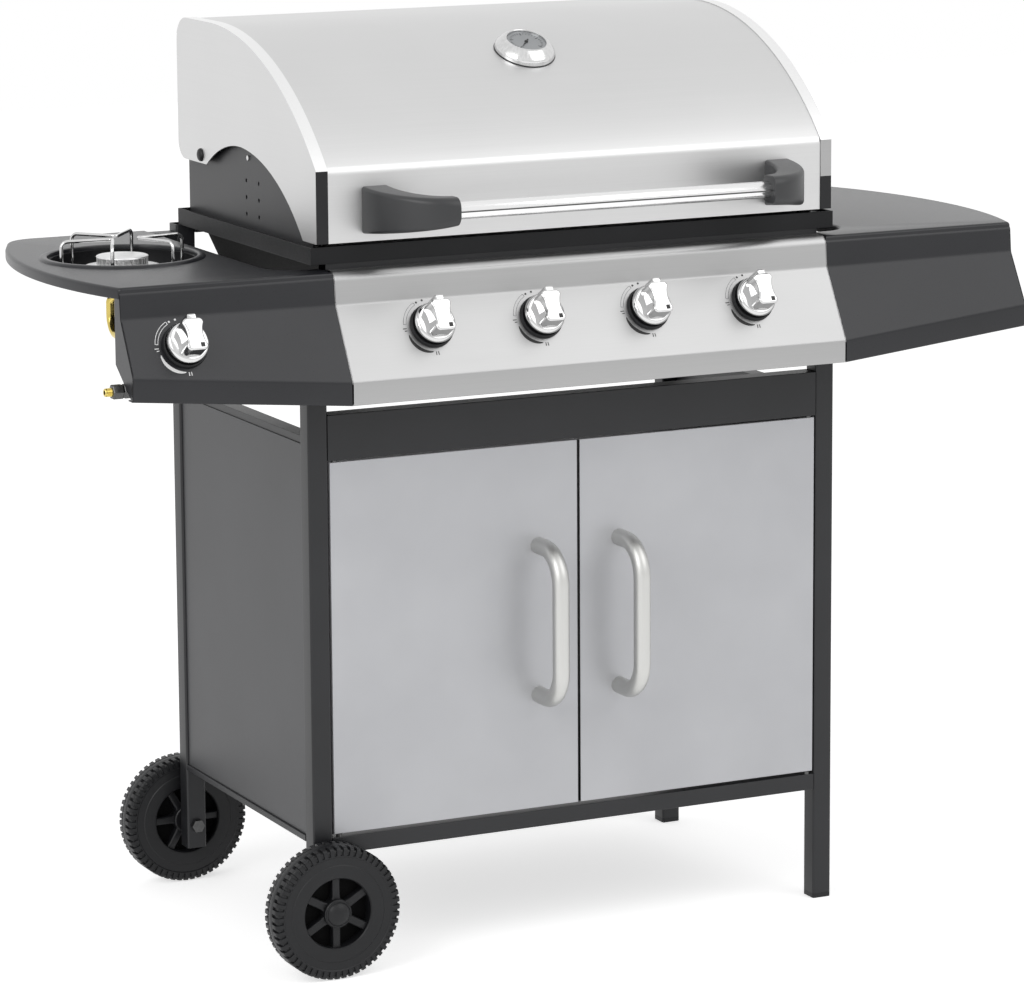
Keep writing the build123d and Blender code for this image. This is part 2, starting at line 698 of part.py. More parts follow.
def fascia(name, side):
    """A tapered fascia under the front edge of one table, with a folded outer end."""
    inner_x, outer_x = side * LEG_IN, side * TABLE_FRONT_X
    with BuildPart() as front:
        with BuildSketch(Plane.YZ.offset(inner_x)):
            add(FASCIA_ROOT)
        with BuildSketch(Plane.YZ.offset(outer_x)):
            add(FASCIA_TIP)
        loft(ruled=True)
        with BuildSketch(Plane.YZ.offset(inner_x + side * SHEET)):
            add(FASCIA_ROOT_IN)
        with BuildSketch(Plane.YZ.offset(outer_x - side * SHEET)):
            add(FASCIA_TIP_IN)
        loft(ruled=True, mode=Mode.SUBTRACT)
        flange_y = PANEL_TOP_Y + FASCIA_FLANGE
        block(
            side * (CART_W / 2),
            outer_x,
            flange_y,
            FRONT + PANEL_LIP,
            FASCIA_TOP - FASCIA_H - PANEL_LIP,
            FASCIA_TOP,
            Mode.SUBTRACT,
        )
        with BuildSketch(Plane.YZ.offset(outer_x - side * 2 * SHEET)):
            tip_z = TABLE_Z - FASCIA_H
            with BuildLine():
                Polyline(
                    (flange_y, tip_z + FASCIA_FLANGE_RISE),
                    (slope_y(TABLE_Z - FASCIA_LOW_DROP) + FASCIA_TUCK + SHEET, tip_z),
                    (flange_y, tip_z),
                    close=True,
                )
            make_face()
        extrude(amount=side * 3 * SHEET, mode=Mode.SUBTRACT)
        if side < 0:
            with Locations(knob_plane(SIDE_KNOB_X).location):
                Cylinder(BEZEL_BORE_R, PANEL_LIP, mode=Mode.SUBTRACT)
            pipe_hole(-LEG_IN)
    save(front, name)


fascia("left_fascia", -1)
fascia("right_fascia", 1)

# Tables: sheet tops with a turned-down band, bowed outer sides and a notch round the firebox
BURNER_AT = (BURNER_X, MID_Y + BURNER_Y)


def table_outline(side):
    """The plan of one table."""
    strip_y = PANEL_TOP_Y + TABLE_STRIP_D
    back_y = MID_Y + TABLE_BACK_Y
    with BuildSketch() as plan:
        with BuildLine():
            Line((side * LEG_IN, PANEL_TOP_Y), (side * TABLE_FRONT_X, PANEL_TOP_Y))
            ThreePointArc(
                (side * TABLE_FRONT_X, PANEL_TOP_Y),
                (side * TABLE_BULGE_X, MID_Y + TABLE_BULGE_Y),
                (side * TABLE_BACK_X, back_y),
            )
            Polyline(
                (side * TABLE_BACK_X, back_y),
                (side * TABLE_INNER_X, back_y),
                (side * TABLE_INNER_X, strip_y),
                (side * LEG_IN, strip_y),
                (side * LEG_IN, PANEL_TOP_Y),
            )
        make_face()
        fillet(plan.vertices().sort_by_distance((side * TABLE_BACK_X, back_y))[0], TABLE_CORNER_R)
        fillet(plan.vertices().sort_by_distance((side * TABLE_INNER_X, strip_y))[0], TABLE_NOTCH_R)
    return plan.sketch


def table(name, side):
    """One side table; the left one has a ringed hole for the side burner."""
    band_z = TABLE_Z - TABLE_BAND_H
    plan = table_outline(side)
    back_bar = BACK - LEG
    with BuildPart() as top:
        with BuildSketch(Plane.XY.offset(FASCIA_TOP)):
            add(plan)
        extrude(amount=TABLE_T)
        with BuildSketch(Plane.XY.offset(band_z)):
            add(plan)
            offset(plan, amount=-TABLE_BAND_T, mode=Mode.SUBTRACT)
            with Locations((side * TABLE_INNER_X, PANEL_TOP_Y)):
                Rectangle(2 * (TABLE_BULGE_X - TABLE_INNER_X), 2 * FASCIA_FLANGE, mode=Mode.SUBTRACT)
            with Locations((side * LEG_IN, PANEL_TOP_Y)):
                notch = TABLE_INNER_X - LEG_IN
                Rectangle(2 * notch, 2 * (TABLE_STRIP_D + PANEL_EDGE_R), mode=Mode.SUBTRACT)
            with Locations((side * LEG_IN, back_bar + TABLE_BRACKET_W / 2)):
                slot_d = TABLE_BRACKET_W + 2 * SEAT_CLEARANCE
                Rectangle(2 * (notch + 2 * TABLE_BAND_T), slot_d, mode=Mode.SUBTRACT)
        extrude(amount=TABLE_BAND_H - TABLE_T)
        if side < 0:
            with BuildSketch(Plane.XY.offset(TABLE_Z)):
                with Locations(BURNER_AT):
                    Circle(HOLE_R + RING_W)
            extrude(amount=RING_H, taper=RING_TAPER)
            with BuildSketch(Plane.XY.offset(FASCIA_TOP)):
                with Locations(BURNER_AT):
                    Circle(HOLE_R)
            extrude(amount=TABLE_T + RING_H, mode=Mode.SUBTRACT)
    save(top, name)


table("left_table", -1)
table("right_table", 1)

with BuildPart() as table_brackets:
    for side in SIDES:
        leg_face = side * CART_W / 2
        for bar_y in (FRONT, BACK - LEG):
            low, high = sorted((leg_face, leg_face + side * TABLE_BRACKET_REACH))
            block(low, high, bar_y, bar_y + TABLE_BRACKET_W, FASCIA_TOP - SHEET, FASCIA_TOP)
            block(low, high, bar_y, bar_y + SHEET, FASCIA_TOP - TABLE_BRACKET_H, FASCIA_TOP)
save(table_brackets, "table_brackets")

# Firebox tub with its rim, ledges, burner holes and floor drain
FLOOR_SHRINK_X = (TUB_W - TUB_FLOOR_W) / 2
FLOOR_SHRINK_Y = (TUB_D - TUB_FLOOR_D) / 2


def tub_inside(z):
    """Half width, front and back of the tub's inner faces at height z."""
    share = (TUB_TOP - z) / TUB_DEPTH
    half = TUB_W / 2 - FIREBOX_T - share * FLOOR_SHRINK_X
    front = TUB_FRONT_Y + FIREBOX_T + share * FLOOR_SHRINK_Y
    return half, front, 2 * TUB_MID_Y - front


GRATE_Z = TUB_TOP - GRATE_H
LEDGE_HALF, LEDGE_FRONT, LEDGE_BACK = tub_inside(GRATE_Z)
TENT_HALF, TENT_FRONT, TENT_BACK = tub_inside(TENT_Z)
BURNER_HALF, BURNER_FRONT, BURNER_BACK = tub_inside(BURNER_Z - BURNER_R)

with BuildPart() as firebox:
    for inset, floor_z, mode in (
        (0, TUB_FLOOR_Z, Mode.ADD),
        (FIREBOX_T, TUB_FLOOR_Z + FIREBOX_T, Mode.SUBTRACT),
    ):
        with BuildSketch(Plane.XY.offset(floor_z)):
            with Locations((0, TUB_MID_Y)):
                Rectangle(TUB_FLOOR_W - 2 * inset, TUB_FLOOR_D - 2 * inset)
        with BuildSketch(Plane.XY.offset(TUB_TOP)):
            with Locations((0, TUB_MID_Y)):
                Rectangle(TUB_W - 2 * inset, TUB_D - 2 * inset)
        loft(ruled=True, mode=mode)
    with BuildSketch(Plane.XY.offset(TUB_TOP - FIREBOX_T)):
        with Locations((0, RIM_MID)):
            Rectangle(RIM_W, RIM_D)
        with Locations((0, TUB_MID_Y)):
            Rectangle(TUB_W - 2 * FIREBOX_T, TUB_D - 2 * FIREBOX_T, mode=Mode.SUBTRACT)
    extrude(amount=FIREBOX_T)
    with BuildSketch(Plane.XY.offset(SKIRT_Z)):
        with Locations((0, RIM_MID)):
            Rectangle(RIM_W, RIM_D)
            Rectangle(RIM_W - 2 * FIREBOX_T, RIM_D - 2 * FIREBOX_T, mode=Mode.SUBTRACT)
    extrude(amount=RIM_SKIRT_H)
    with BuildSketch(Plane.XY.offset(GRATE_Z - LEDGE_T)):
        with Locations((0, TUB_MID_Y)):
            Rectangle(2 * LEDGE_HALF + FIREBOX_T, LEDGE_BACK - LEDGE_FRONT + FIREBOX_T)
            Rectangle(
                2 * LEDGE_HALF - 2 * LEDGE_W,
                LEDGE_BACK - LEDGE_FRONT - 2 * LEDGE_W,
                mode=Mode.SUBTRACT,
            )
    extrude(amount=LEDGE_T)
    for near, far in (
        (TENT_FRONT - LEDGE_T / 2, TENT_FRONT + LEDGE_W),
        (TENT_BACK - LEDGE_W, TENT_BACK + LEDGE_T / 2),
    ):
        block(-TENT_HALF, TENT_HALF, near, far, TENT_Z - LEDGE_T, TENT_Z)
    rest_z = BURNER_Z - BURNER_R
    block(
        -BURNER_HALF,
        BURNER_HALF,
        BURNER_BACK - LEDGE_W,
        BURNER_BACK + LEDGE_T / 2,
        rest_z - LEDGE_T,
        rest_z,
    )
    block(
        -DRAIN_W / 2,
        DRAIN_W / 2,
        TUB_MID_Y - DRAIN_D / 2,
        TUB_MID_Y + DRAIN_D / 2,
        TUB_FLOOR_Z - FIREBOX_T,
        TUB_FLOOR_Z + 2 * FIREBOX_T,
        Mode.SUBTRACT,
    )
    for knob_x in KNOB_XS[1:]:
        rod(
            (knob_x, TUB_FRONT_Y, BURNER_Z),
            (knob_x, BURNER_FRONT + LEDGE_W, BURNER_Z),
            VENTURI_R + SEAT_CLEARANCE,
            Mode.SUBTRACT,
        )
save(firebox, "firebox")

# Upper walls of the firebox, under the lid: vented side walls and a plain back wall
WALL_FRONT_Y = TUB_FRONT_Y + FIREBOX_T
WALL_BACK_Y = RIM_BACK - FIREBOX_T - PART_GAP
WALL_CROWN_Z = HINGE_Z + WALL_CROWN_RISE
WALL_SHOULDER_Z = HINGE_Z + WALL_SHOULDER_RISE
with BuildPart() as firebox_side_walls:
    with BuildSketch(Plane.YZ.offset(-WALL_X)):
        with BuildLine():
            Polyline(
                (WALL_FRONT_Y, TUB_TOP + WALL_FRONT_H),
                (WALL_FRONT_Y, TUB_TOP),
                (WALL_BACK_Y, TUB_TOP),
                (WALL_BACK_Y, WALL_SHOULDER_Z),
                (MID_Y + HINGE_Y, WALL_CROWN_Z),
            )
            ThreePointArc(
                (MID_Y + HINGE_Y, WALL_CROWN_Z),
                (MID_Y - LID_EAR_Y / 2, WALL_CROWN_Z - WALL_FRONT_H / 2),
                (WALL_FRONT_Y, TUB_TOP + WALL_FRONT_H),
            )
        make_face()
    extrude(amount=WALL_T)
    wall_holes = [(hole_y, hole_z, VENT_HOLE_R) for hole_y in VENT_HOLE_YS for hole_z in VENT_HOLE_ZS]
    wall_holes.append((HINGE_Y, HINGE_Z, HINGE_R + SEAT_CLEARANCE))
    wall_holes.append((LID_ARCH_Y, RACK_Z, RACK_ROD_R + SEAT_CLEARANCE))
    for hole_y, hole_z, hole_r in wall_holes:
        rod(
            (-WALL_X - WALL_T, MID_Y + hole_y, hole_z),
            (-WALL_X + 2 * WALL_T, MID_Y + hole_y, hole_z),
            hole_r,
            Mode.SUBTRACT,
        )
    mirror(about=Plane.YZ)
save(firebox_side_walls, "firebox_side_walls")

with BuildPart() as firebox_back_wall:
    block(
        -WALL_X + WALL_T,
        WALL_X - WALL_T,
        WALL_BACK_Y - WALL_T,
        WALL_BACK_Y,
        TUB_TOP,
        TUB_TOP + BACK_WALL_H,
    )
save(firebox_back_wall, "firebox_back_wall")

# Cooking grates, warming rack, heat tents and burners
with BuildPart() as cooking_grates:
    for side in SIDES:
        near_x = side * GRATE_CLEARANCE / 2
        far_x = side * (LEDGE_HALF - GRATE_CLEARANCE)
        low, high = sorted((near_x, far_x))
        front, back = LEDGE_FRONT + GRATE_CLEARANCE, LEDGE_BACK - GRATE_CLEARANCE
        with BuildSketch(Plane.XY.offset(GRATE_Z)):
            with Locations(((low + high) / 2, (front + back) / 2)):
                Rectangle(high - low, back - front)
                Rectangle(high - low - 2 * GRATE_BAR_W, back - front - 2 * LEDGE_W, mode=Mode.SUBTRACT)
                with GridLocations((high - low - GRATE_BAR_W) / (GRATE_BARS + 1), 0, GRATE_BARS, 1):
                    Rectangle(GRATE_BAR_W, back - front - LEDGE_W)
        extrude(amount=GRATE_H)
save(cooking_grates, "cooking_grates")

with BuildPart() as warming_rack:
    rack_half = WALL_X - WALL_T - LEDGE_W
    for rail_y in (RACK_FRONT, RACK_BACK):
        block(
            -rack_half,
            rack_half,
            MID_Y + rail_y - RACK_ROD_R,
            MID_Y + rail_y + RACK_ROD_R,
            RACK_Z - RACK_ROD_R,
            RACK_Z + RACK_ROD_R,
        )
    with Locations((0, MID_Y + (RACK_FRONT + RACK_BACK) / 2, RACK_Z)):
        with GridLocations((2 * rack_half - 2 * RACK_ROD_R) / (RACK_BARS - 1), 0, RACK_BARS, 1):
            Box(2 * RACK_ROD_R, RACK_BACK - RACK_FRONT, 2 * RACK_ROD_R)
    for side in SIDES:
        rod(
            (side * (rack_half - RACK_ROD_R), MID_Y + LID_ARCH_Y, RACK_Z),
            (side * (WALL_X + WALL_T), MID_Y + LID_ARCH_Y, RACK_Z),
            RACK_ROD_R,
        )
save(warming_rack, "warming_rack")

with BuildPart() as heat_tents:
    tent_front, tent_back = TENT_FRONT + GRATE_CLEARANCE, TENT_BACK - GRATE_CLEARANCE
    for knob_x in KNOB_XS[1:]:
        with BuildSketch(Plane.XZ.offset(-tent_back)):
            with BuildLine():
                Polyline(
                    (knob_x - TENT_W / 2, TENT_Z),
                    (knob_x, TENT_Z + TENT_RISE),
                    (knob_x + TENT_W / 2, TENT_Z),
                    (knob_x + TENT_W / 2 - 2 * TENT_T, TENT_Z),
                    (knob_x, TENT_Z + TENT_RISE - TENT_T),
                    (knob_x - TENT_W / 2 + 2 * TENT_T, TENT_Z),
                    close=True,
                )
            make_face()
        extrude(amount=tent_back - tent_front)
save(heat_tents, "heat_tents")

VALVE_FACE = knob_plane(0).origin
NOZZLE_START = VALVE_FACE - SLOPE_OUT * (VALVE_DEPTH - VALVE_R)
VENTURI_Y = NOZZLE_START.Y + NOZZLE_L - NOZZLE_R
with BuildPart() as burners:
    for knob_x in KNOB_XS[1:]:
        mouth = (knob_x, VENTURI_Y, BURNER_Z)
        shoulder = (knob_x, BURNER_FRONT + LEDGE_W, BURNER_Z)
        rod(mouth, shoulder, VENTURI_R)
        rod(shoulder, (knob_x, BURNER_BACK - LEDGE_T, BURNER_Z), BURNER_R)
        rod(mouth, (knob_x, BURNER_BACK - LEDGE_W, BURNER_Z), VENTURI_BORE_R, Mode.SUBTRACT)
save(burners, "burners")

# Drip tray that slides out of the back on two angle runners
TRAY_TOP = TUB_FLOOR_Z - TRAY_DROP
TRAY_HALF = TRAY_W / 2
with BuildPart() as drip_tray:
    front, back = MID_Y + TRAY_FRONT, MID_Y + TRAY_BACK
    block(-TRAY_HALF, TRAY_HALF, front, back, TRAY_TOP - TRAY_DEPTH, TRAY_TOP)
    block(
        -TRAY_HALF + TRAY_T,
        TRAY_HALF - TRAY_T,
        front + TRAY_T,
        back - TRAY_T,
        TRAY_TOP - TRAY_DEPTH + TRAY_T,
        TRAY_TOP,
        Mode.SUBTRACT,
    )
    flange_z = TRAY_TOP - TRAY_T
    for side in SIDES:
        block(side * (TRAY_HALF - TRAY_T), side * (TRAY_HALF + TRAY_FLANGE), front, back, flange_z, TRAY_TOP)
    block(-TRAY_HALF / 2, TRAY_HALF / 2, back - TRAY_T, back + TRAY_FLANGE, flange_z, TRAY_TOP)
save(drip_tray, "drip_tray")

with BuildPart() as drip_tray_runners:
    for side in SIDES:
        wall_x = side * (TRAY_HALF + TRAY_FLANGE + PART_GAP)
        ledge_z = TRAY_TOP - TRAY_T - PART_GAP
        runner_out = wall_x + side * SHEET
        runner_in = side * (TRAY_HALF + PART_GAP)
        block(wall_x, runner_out, MID_Y + TRAY_FRONT, MID_Y + TRAY_BACK, ledge_z - SHEET, TUB_FLOOR_Z)
        block(runner_in, runner_out, MID_Y + TRAY_FRONT, MID_Y + TRAY_BACK, ledge_z - SHEET, ledge_z)
save(drip_tray_runners, "drip_tray_runners")

# Gas side: manifold along the front, inlet at its left end, valves behind the knobs
with BuildPart() as gas_manifold:
    rod(manifold_at(INLET_X), manifold_at(MANIFOLD_RIGHT_X), MANIFOLD_R)
    rod(manifold_at(INLET_X), manifold_at(MANIFOLD_RIGHT_X - MANIFOLD_R), MANIFOLD_BORE_R, Mode.SUBTRACT)
save(gas_manifold, "gas_manifold")

with BuildPart() as gas_inlet:
    inlet_plane = Plane(origin=manifold_at(INLET_X), x_dir=(0, 1, 0), z_dir=(-1, 0, 0))
    with BuildSketch(inlet_plane):
        RegularPolygon(INLET_BODY_R, 6)
    extrude(amount=INLET_BODY_L)
    with BuildSketch(inlet_plane.offset(INLET_BODY_L)):
        Circle(INLET_TIP_R)
    extrude(amount=INLET_TIP_L)
    with BuildSketch(inlet_plane):
        Circle(INLET_TIP_R / 2)
    extrude(amount=INLET_BODY_L + INLET_TIP_L, mode=Mode.SUBTRACT)
save(gas_inlet, "gas_inlet")

with BuildPart() as valve_bodies:
    for knob_x in KNOB_XS:
        face = knob_plane(knob_x)
        with BuildSketch(face.offset(-SHEET)):
            Circle(VALVE_R)
        extrude(amount=SHEET - VALVE_DEPTH)
        nipple = face.origin - SLOPE_OUT * MANIFOLD_DEPTH + SLOPE_OUT * VALVE_NIPPLE_R
        rod(tuple(nipple), manifold_at(knob_x), VALVE_NIPPLE_R)
        nozzle = Vector(knob_x, NOZZLE_START.Y, BURNER_Z)
        if knob_x != SIDE_KNOB_X:
            rod(tuple(nozzle), (knob_x, nozzle.Y + NOZZLE_L, BURNER_Z), NOZZLE_R)
        with BuildSketch(face):
            Circle(STEM_R + RUNNING_CLEARANCE)
        extrude(amount=-STEM_INSIDE - 2 * KNOB_TRAVEL, mode=Mode.SUBTRACT)
    rod(manifold_at(INLET_X), manifold_at(MANIFOLD_RIGHT_X), MANIFOLD_R, Mode.SUBTRACT)
save(valve_bodies, "valve_bodies")

with BuildPart() as knob_bezels:
    for knob_x in KNOB_XS:
        with BuildSketch(knob_plane(knob_x)):
            Circle(BEZEL_R)
            Circle(BEZEL_BORE_R, mode=Mode.SUBTRACT)
        extrude(amount=BEZEL_T)
save(knob_bezels, "knob_bezels")

KNOB_LIFT = BEZEL_T + KNOB_TRAVEL + PART_GAP
STEM_TOP = KNOB_LIFT + KNOB_BORE_DEPTH - PART_GAP


def valve_stem(name, x):
    """The shaft that a knob turns on and that slides into its valve."""
    with BuildPart() as stem:
        with BuildSketch(knob_plane(x).offset(-STEM_INSIDE)):
            Circle(STEM_R)
        extrude(amount=STEM_INSIDE + STEM_TOP)
    save(stem, name)


def knob(name, x):
    """A knob with a round skirt, a chunky grip and a pointer tab at the top."""
    base = knob_plane(x).offset(KNOB_LIFT)
    with BuildPart() as turned:
        with BuildSketch(base):
            Circle(KNOB_SKIRT_R)
        extrude(amount=KNOB_SKIRT_H, taper=KNOB_SKIRT_TAPER)
        with BuildSketch(base.offset(KNOB_SKIRT_H)):
            RectangleRounded(KNOB_GRIP_W, KNOB_GRIP_L - KNOB_TAB_STEP, KNOB_CORNER_R)
            with Locations((0, KNOB_GRIP_L / 2)):
                Rectangle(KNOB_TAB_W, KNOB_TAB_L)
        extrude(amount=KNOB_GRIP_H)
        chamfer(turned.faces().sort_by(Axis(base.origin, base.z_dir))[-1].edges(), KNOB_EDGE)
        with BuildSketch(base):
            Circle(STEM_R + RUNNING_CLEARANCE)
        extrude(amount=KNOB_BORE_DEPTH, mode=Mode.SUBTRACT)
    save(turned, name)


for place, knob_x in zip(("side", "1", "2", "3", "4"), KNOB_XS):
    valve_stem(f"valve_stem_{place}", knob_x)
    knob(f"knob_{place}", knob_x)

# Side burner: bowl under the table, slotted head with a cap, bent wire pan support, brass pipe
BOWL_TOP = FASCIA_TOP
BOWL_FLOOR = BOWL_TOP - BOWL_DEPTH
BOWL_R = HOLE_R - BOWL_INSET
with BuildPart() as side_burner_bowl:
    with BuildSketch(Plane(origin=(*BURNER_AT, 0), x_dir=(1, 0, 0), z_dir=(0, -1, 0))):
        with BuildLine():
            Polyline(
                (PIPE_R + SEAT_CLEARANCE, BOWL_FLOOR - BOWL_T),
                (BOWL_FLOOR_R, BOWL_FLOOR - BOWL_T),
                (BOWL_R, BOWL_TOP - BOWL_T - BOWL_COLLAR_H),
                (BOWL_R, BOWL_TOP - BOWL_T),
                (HOLE_R + RING_W, BOWL_TOP - BOWL_T),
                (HOLE_R + RING_W, BOWL_TOP),
                (BOWL_R - BOWL_T, BOWL_TOP),
                (BOWL_R - BOWL_T, BOWL_TOP - BOWL_COLLAR_H),
                (BOWL_FLOOR_R - BOWL_T, BOWL_FLOOR),
                (PIPE_R + SEAT_CLEARANCE, BOWL_FLOOR),
                close=True,
            )
        make_face()
    revolve(axis=Axis(origin=(*BURNER_AT, 0), direction=(0, 0, 1)))
save(side_burner_bowl, "side_burner_bowl")

HEAD_TOP = TABLE_Z + CAP_RISE - CAP_H
with BuildPart() as side_burner_head:
    with BuildSketch(Plane.XY.offset(BOWL_FLOOR)):
        with Locations(BURNER_AT):
            Circle(HEAD_NECK_R)
    extrude(amount=HEAD_TOP - HEAD_H - BOWL_FLOOR)
    with BuildSketch(Plane.XY.offset(HEAD_TOP - HEAD_H)):
        with Locations(BURNER_AT):
            Circle(HEAD_R)
            with PolarLocations(HEAD_R, HEAD_SLOTS):
                Rectangle(2 * HEAD_SLOT_DEPTH, HEAD_SLOT_W, mode=Mode.SUBTRACT)
    extrude(amount=HEAD_H)
    with BuildSketch(Plane.XY.offset(HEAD_TOP - HEAD_H)):
        with Locations(BURNER_AT):
            Circle(HEAD_PLATE_R)
    extrude(amount=-HEAD_PLATE_T)
    with BuildSketch(Plane.XY.offset(HEAD_TOP)):
        with Locations(BURNER_AT):
            Circle(CAP_R)
    extrude(amount=CAP_H, taper=CAP_TAPER)
save(side_burner_head, "side_burner_head")

with BuildPart() as pan_support:
    top_z = TABLE_Z + SUPPORT_RISE - SUPPORT_WIRE_R
    foot_z = BOWL_FLOOR + 2 * SUPPORT_WIRE_R
    leg_out = SUPPORT_LEG_R * cos(radians(SUPPORT_SPLAY))
    leg_side = SUPPORT_LEG_R * sin(radians(SUPPORT_SPLAY))
    for turn in range(SUPPORT_FINGERS):
        spin = Location((*BURNER_AT, 0), (0, 0, 360 / SUPPORT_FINGERS * turn + SUPPORT_TURN))
        points = [
            (leg_out, -leg_side, foot_z),
            (leg_out, -leg_side, top_z),
            (SUPPORT_TIP_R, 0, top_z),
            (leg_out, leg_side, top_z),
            (leg_out, leg_side, foot_z),
        ]
        placed = [(spin * Pos(*point)).position for point in points]
        with BuildLine():
            FilletPolyline(*placed, radius=[SUPPORT_BEND_R, SUPPORT_TIP_BEND_R, SUPPORT_BEND_R])
        with BuildSketch(Plane(origin=placed[0], z_dir=(0, 0, 1))):
            RegularPolygon(SUPPORT_WIRE_R, 8)
        sweep()
    with BuildSketch(Plane.XY.offset(BOWL_FLOOR)):
        with Locations(BURNER_AT):
            Circle(SUPPORT_LEG_R + SUPPORT_WIRE_R)
            Circle(SUPPORT_LEG_R - SUPPORT_WIRE_R, mode=Mode.SUBTRACT)
    extrude(amount=2 * SUPPORT_WIRE_R)
save(pan_support, "pan_support")

with BuildPart() as side_burner_pipe:
    valve_face = knob_plane(SIDE_KNOB_X).origin
    valve_back = valve_face - SLOPE_OUT * VALVE_DEPTH
    valve_end = valve_back + SLOPE_OUT * PIPE_R
    with BuildLine():
        FilletPolyline(
            (*BURNER_AT, BOWL_FLOOR),
            (*BURNER_AT, PIPE_LOW_Z),
            tuple(valve_end),
            radius=PIPE_BEND_R,
        )
    with BuildSketch(Plane(origin=(*BURNER_AT, BOWL_FLOOR), z_dir=(0, 0, -1))):
        Circle(PIPE_R)
    sweep()
    rod(tuple(valve_face), tuple(valve_back), VALVE_R, Mode.SUBTRACT)
save(side_burner_pipe, "side_burner_pipe")

# Lid: a curved sheet between two end plates with arched lower edges
LID_FALL = LID_TOP_Z - LID_CREASE_Z
LID_RUN = MID_Y + LID_APEX_Y - LID_FRONT_Y
LID_R = (LID_RUN**2 + LID_FALL**2) / (2 * LID_FALL)
LID_CENTRE = (MID_Y + LID_APEX_Y, LID_TOP_Z - LID_R)
LID_HALF = LID_W / 2


def lid_outline(grow, low_z):
    """The lid's side view, grown by a thickness and closed straight down to low_z."""
    front = LID_FRONT_Y - grow
    back = MID_Y + LID_BACK_Y + grow
    radius = LID_R + grow
    corner = LID_BACK_R + grow
    crease = LID_CENTRE[1] + sqrt(radius**2 - (LID_CENTRE[0] - front) ** 2)
    turn = atan2(crease - LID_CENTRE[1], front - LID_CENTRE[0])
    middle = (turn + radians(90)) / 2
    top = LID_TOP_Z + grow
    with BuildSketch() as outline:
        with BuildLine():
            Line((front, low_z), (front, crease))
            ThreePointArc(
                (front, crease),
                (LID_CENTRE[0] + radius * cos(middle), LID_CENTRE[1] + radius * sin(middle)),
                (LID_CENTRE[0], top),
            )
            Line((LID_CENTRE[0], top), (back - corner, top))
            ThreePointArc(
                (back - corner, top),
                (back - corner + corner * sin(radians(45)), top - corner + corner * cos(radians(45))),
                (back, top - corner),
            )
            Polyline((back, top - corner), (back, low_z), (front, low_z))
        make_face()
    return outline.sketch


LID_SOLID = lid_outline(0, LID_BOTTOM_Z)
LID_HOLLOW = lid_outline(-LID_T, LID_BOTTOM_Z - LID_T)
LID_LIPPED = lid_outline(LID_LIP_T, LID_BOTTOM_Z)
DIAL_Z = LID_CENTRE[1] + sqrt(LID_R**2 - (LID_CENTRE[0] - MID_Y - DIAL_Y) ** 2)
DIAL_OUT = (Vector(0, MID_Y + DIAL_Y, DIAL_Z) - Vector(0, *LID_CENTRE)).normalized()
DIAL_PLANE = Plane(origin=(0, MID_Y + DIAL_Y, DIAL_Z), x_dir=(1, 0, 0), z_dir=DIAL_OUT)

with BuildPart() as lid_shell:
    sheet_half = LID_HALF - LID_END_T
    with BuildSketch(Plane.YZ.offset(-sheet_half)):
        add(LID_SOLID)
        add(LID_HOLLOW, mode=Mode.SUBTRACT)
    extrude(amount=2 * sheet_half)
    block(-LID_W, LID_W, LID_CENTRE[0], BACK, LID_BOTTOM_Z, LID_SHEET_BACK_Z, Mode.SUBTRACT)
    with Locations(DIAL_PLANE.location):
        Cylinder(PROBE_R + SEAT_CLEARANCE, DIAL_H, mode=Mode.SUBTRACT)
save(lid_shell, "lid_shell")

with BuildPart() as lid_ends:
    foot_y = LID_FRONT_Y + LID_END_FOOT
    ear_y = MID_Y + LID_EAR_Y
    arch = (MID_Y + LID_ARCH_Y, LID_ARCH_Z)
    arch_low = LID_BOTTOM_Z - LID_T
    with BuildSketch(Plane.YZ.offset(-LID_HALF)):
        add(LID_SOLID)
        with BuildLine():
            ThreePointArc((foot_y, arch_low), (MID_Y + ARCH_FRONT_Y, ARCH_FRONT_Z), arch)
            ThreePointArc(arch, (MID_Y + ARCH_REAR_Y, ARCH_REAR_Z), (ear_y, LID_EAR_Z))
            Polyline((ear_y, LID_EAR_Z), (BACK, LID_EAR_Z), (BACK, arch_low), (foot_y, arch_low))
        make_face(mode=Mode.SUBTRACT)
    extrude(amount=LID_END_T)
    with BuildSketch(Plane.YZ.offset(-LID_HALF)):
        add(LID_LIPPED)
        add(LID_SOLID, mode=Mode.SUBTRACT)
        with Locations((MID_Y, LID_BOTTOM_Z)):
            Rectangle(2 * CART_D, 2 * (LID_CREASE_Z - LID_BOTTOM_Z), mode=Mode.SUBTRACT)
        with Locations((MID_Y + CART_D, LID_SHEET_BACK_Z)):
            Rectangle(2 * CART_D, 2 * (LID_SHEET_BACK_Z - LID_EAR_Z), mode=Mode.SUBTRACT)
    extrude(amount=LID_LIP_W)
    rod(
        (-LID_W, MID_Y + HINGE_Y, HINGE_Z),
        (0, MID_Y + HINGE_Y, HINGE_Z),
        HINGE_R + RUNNING_CLEARANCE,
        Mode.SUBTRACT,
    )
    ear_corner = (-LID_HALF, MID_Y + LID_BACK_Y, LID_EAR_Z)
    fillet(lid_ends.edges().filter_by(Axis.X).sort_by_distance(ear_corner)[0], LID_EAR_R)
    mirror(about=Plane.YZ)
save(lid_ends, "lid_ends")

with BuildPart() as lid_front_strips:
    for side in SIDES:
        block(
            side * (LID_HALF - LID_LIP_W),
            side * LID_HALF,
            LID_FRONT_Y - LID_LIP_T,
            LID_FRONT_Y,
            LID_BOTTOM_Z,
            LID_CREASE_Z,
        )
save(lid_front_strips, "lid_front_strips")

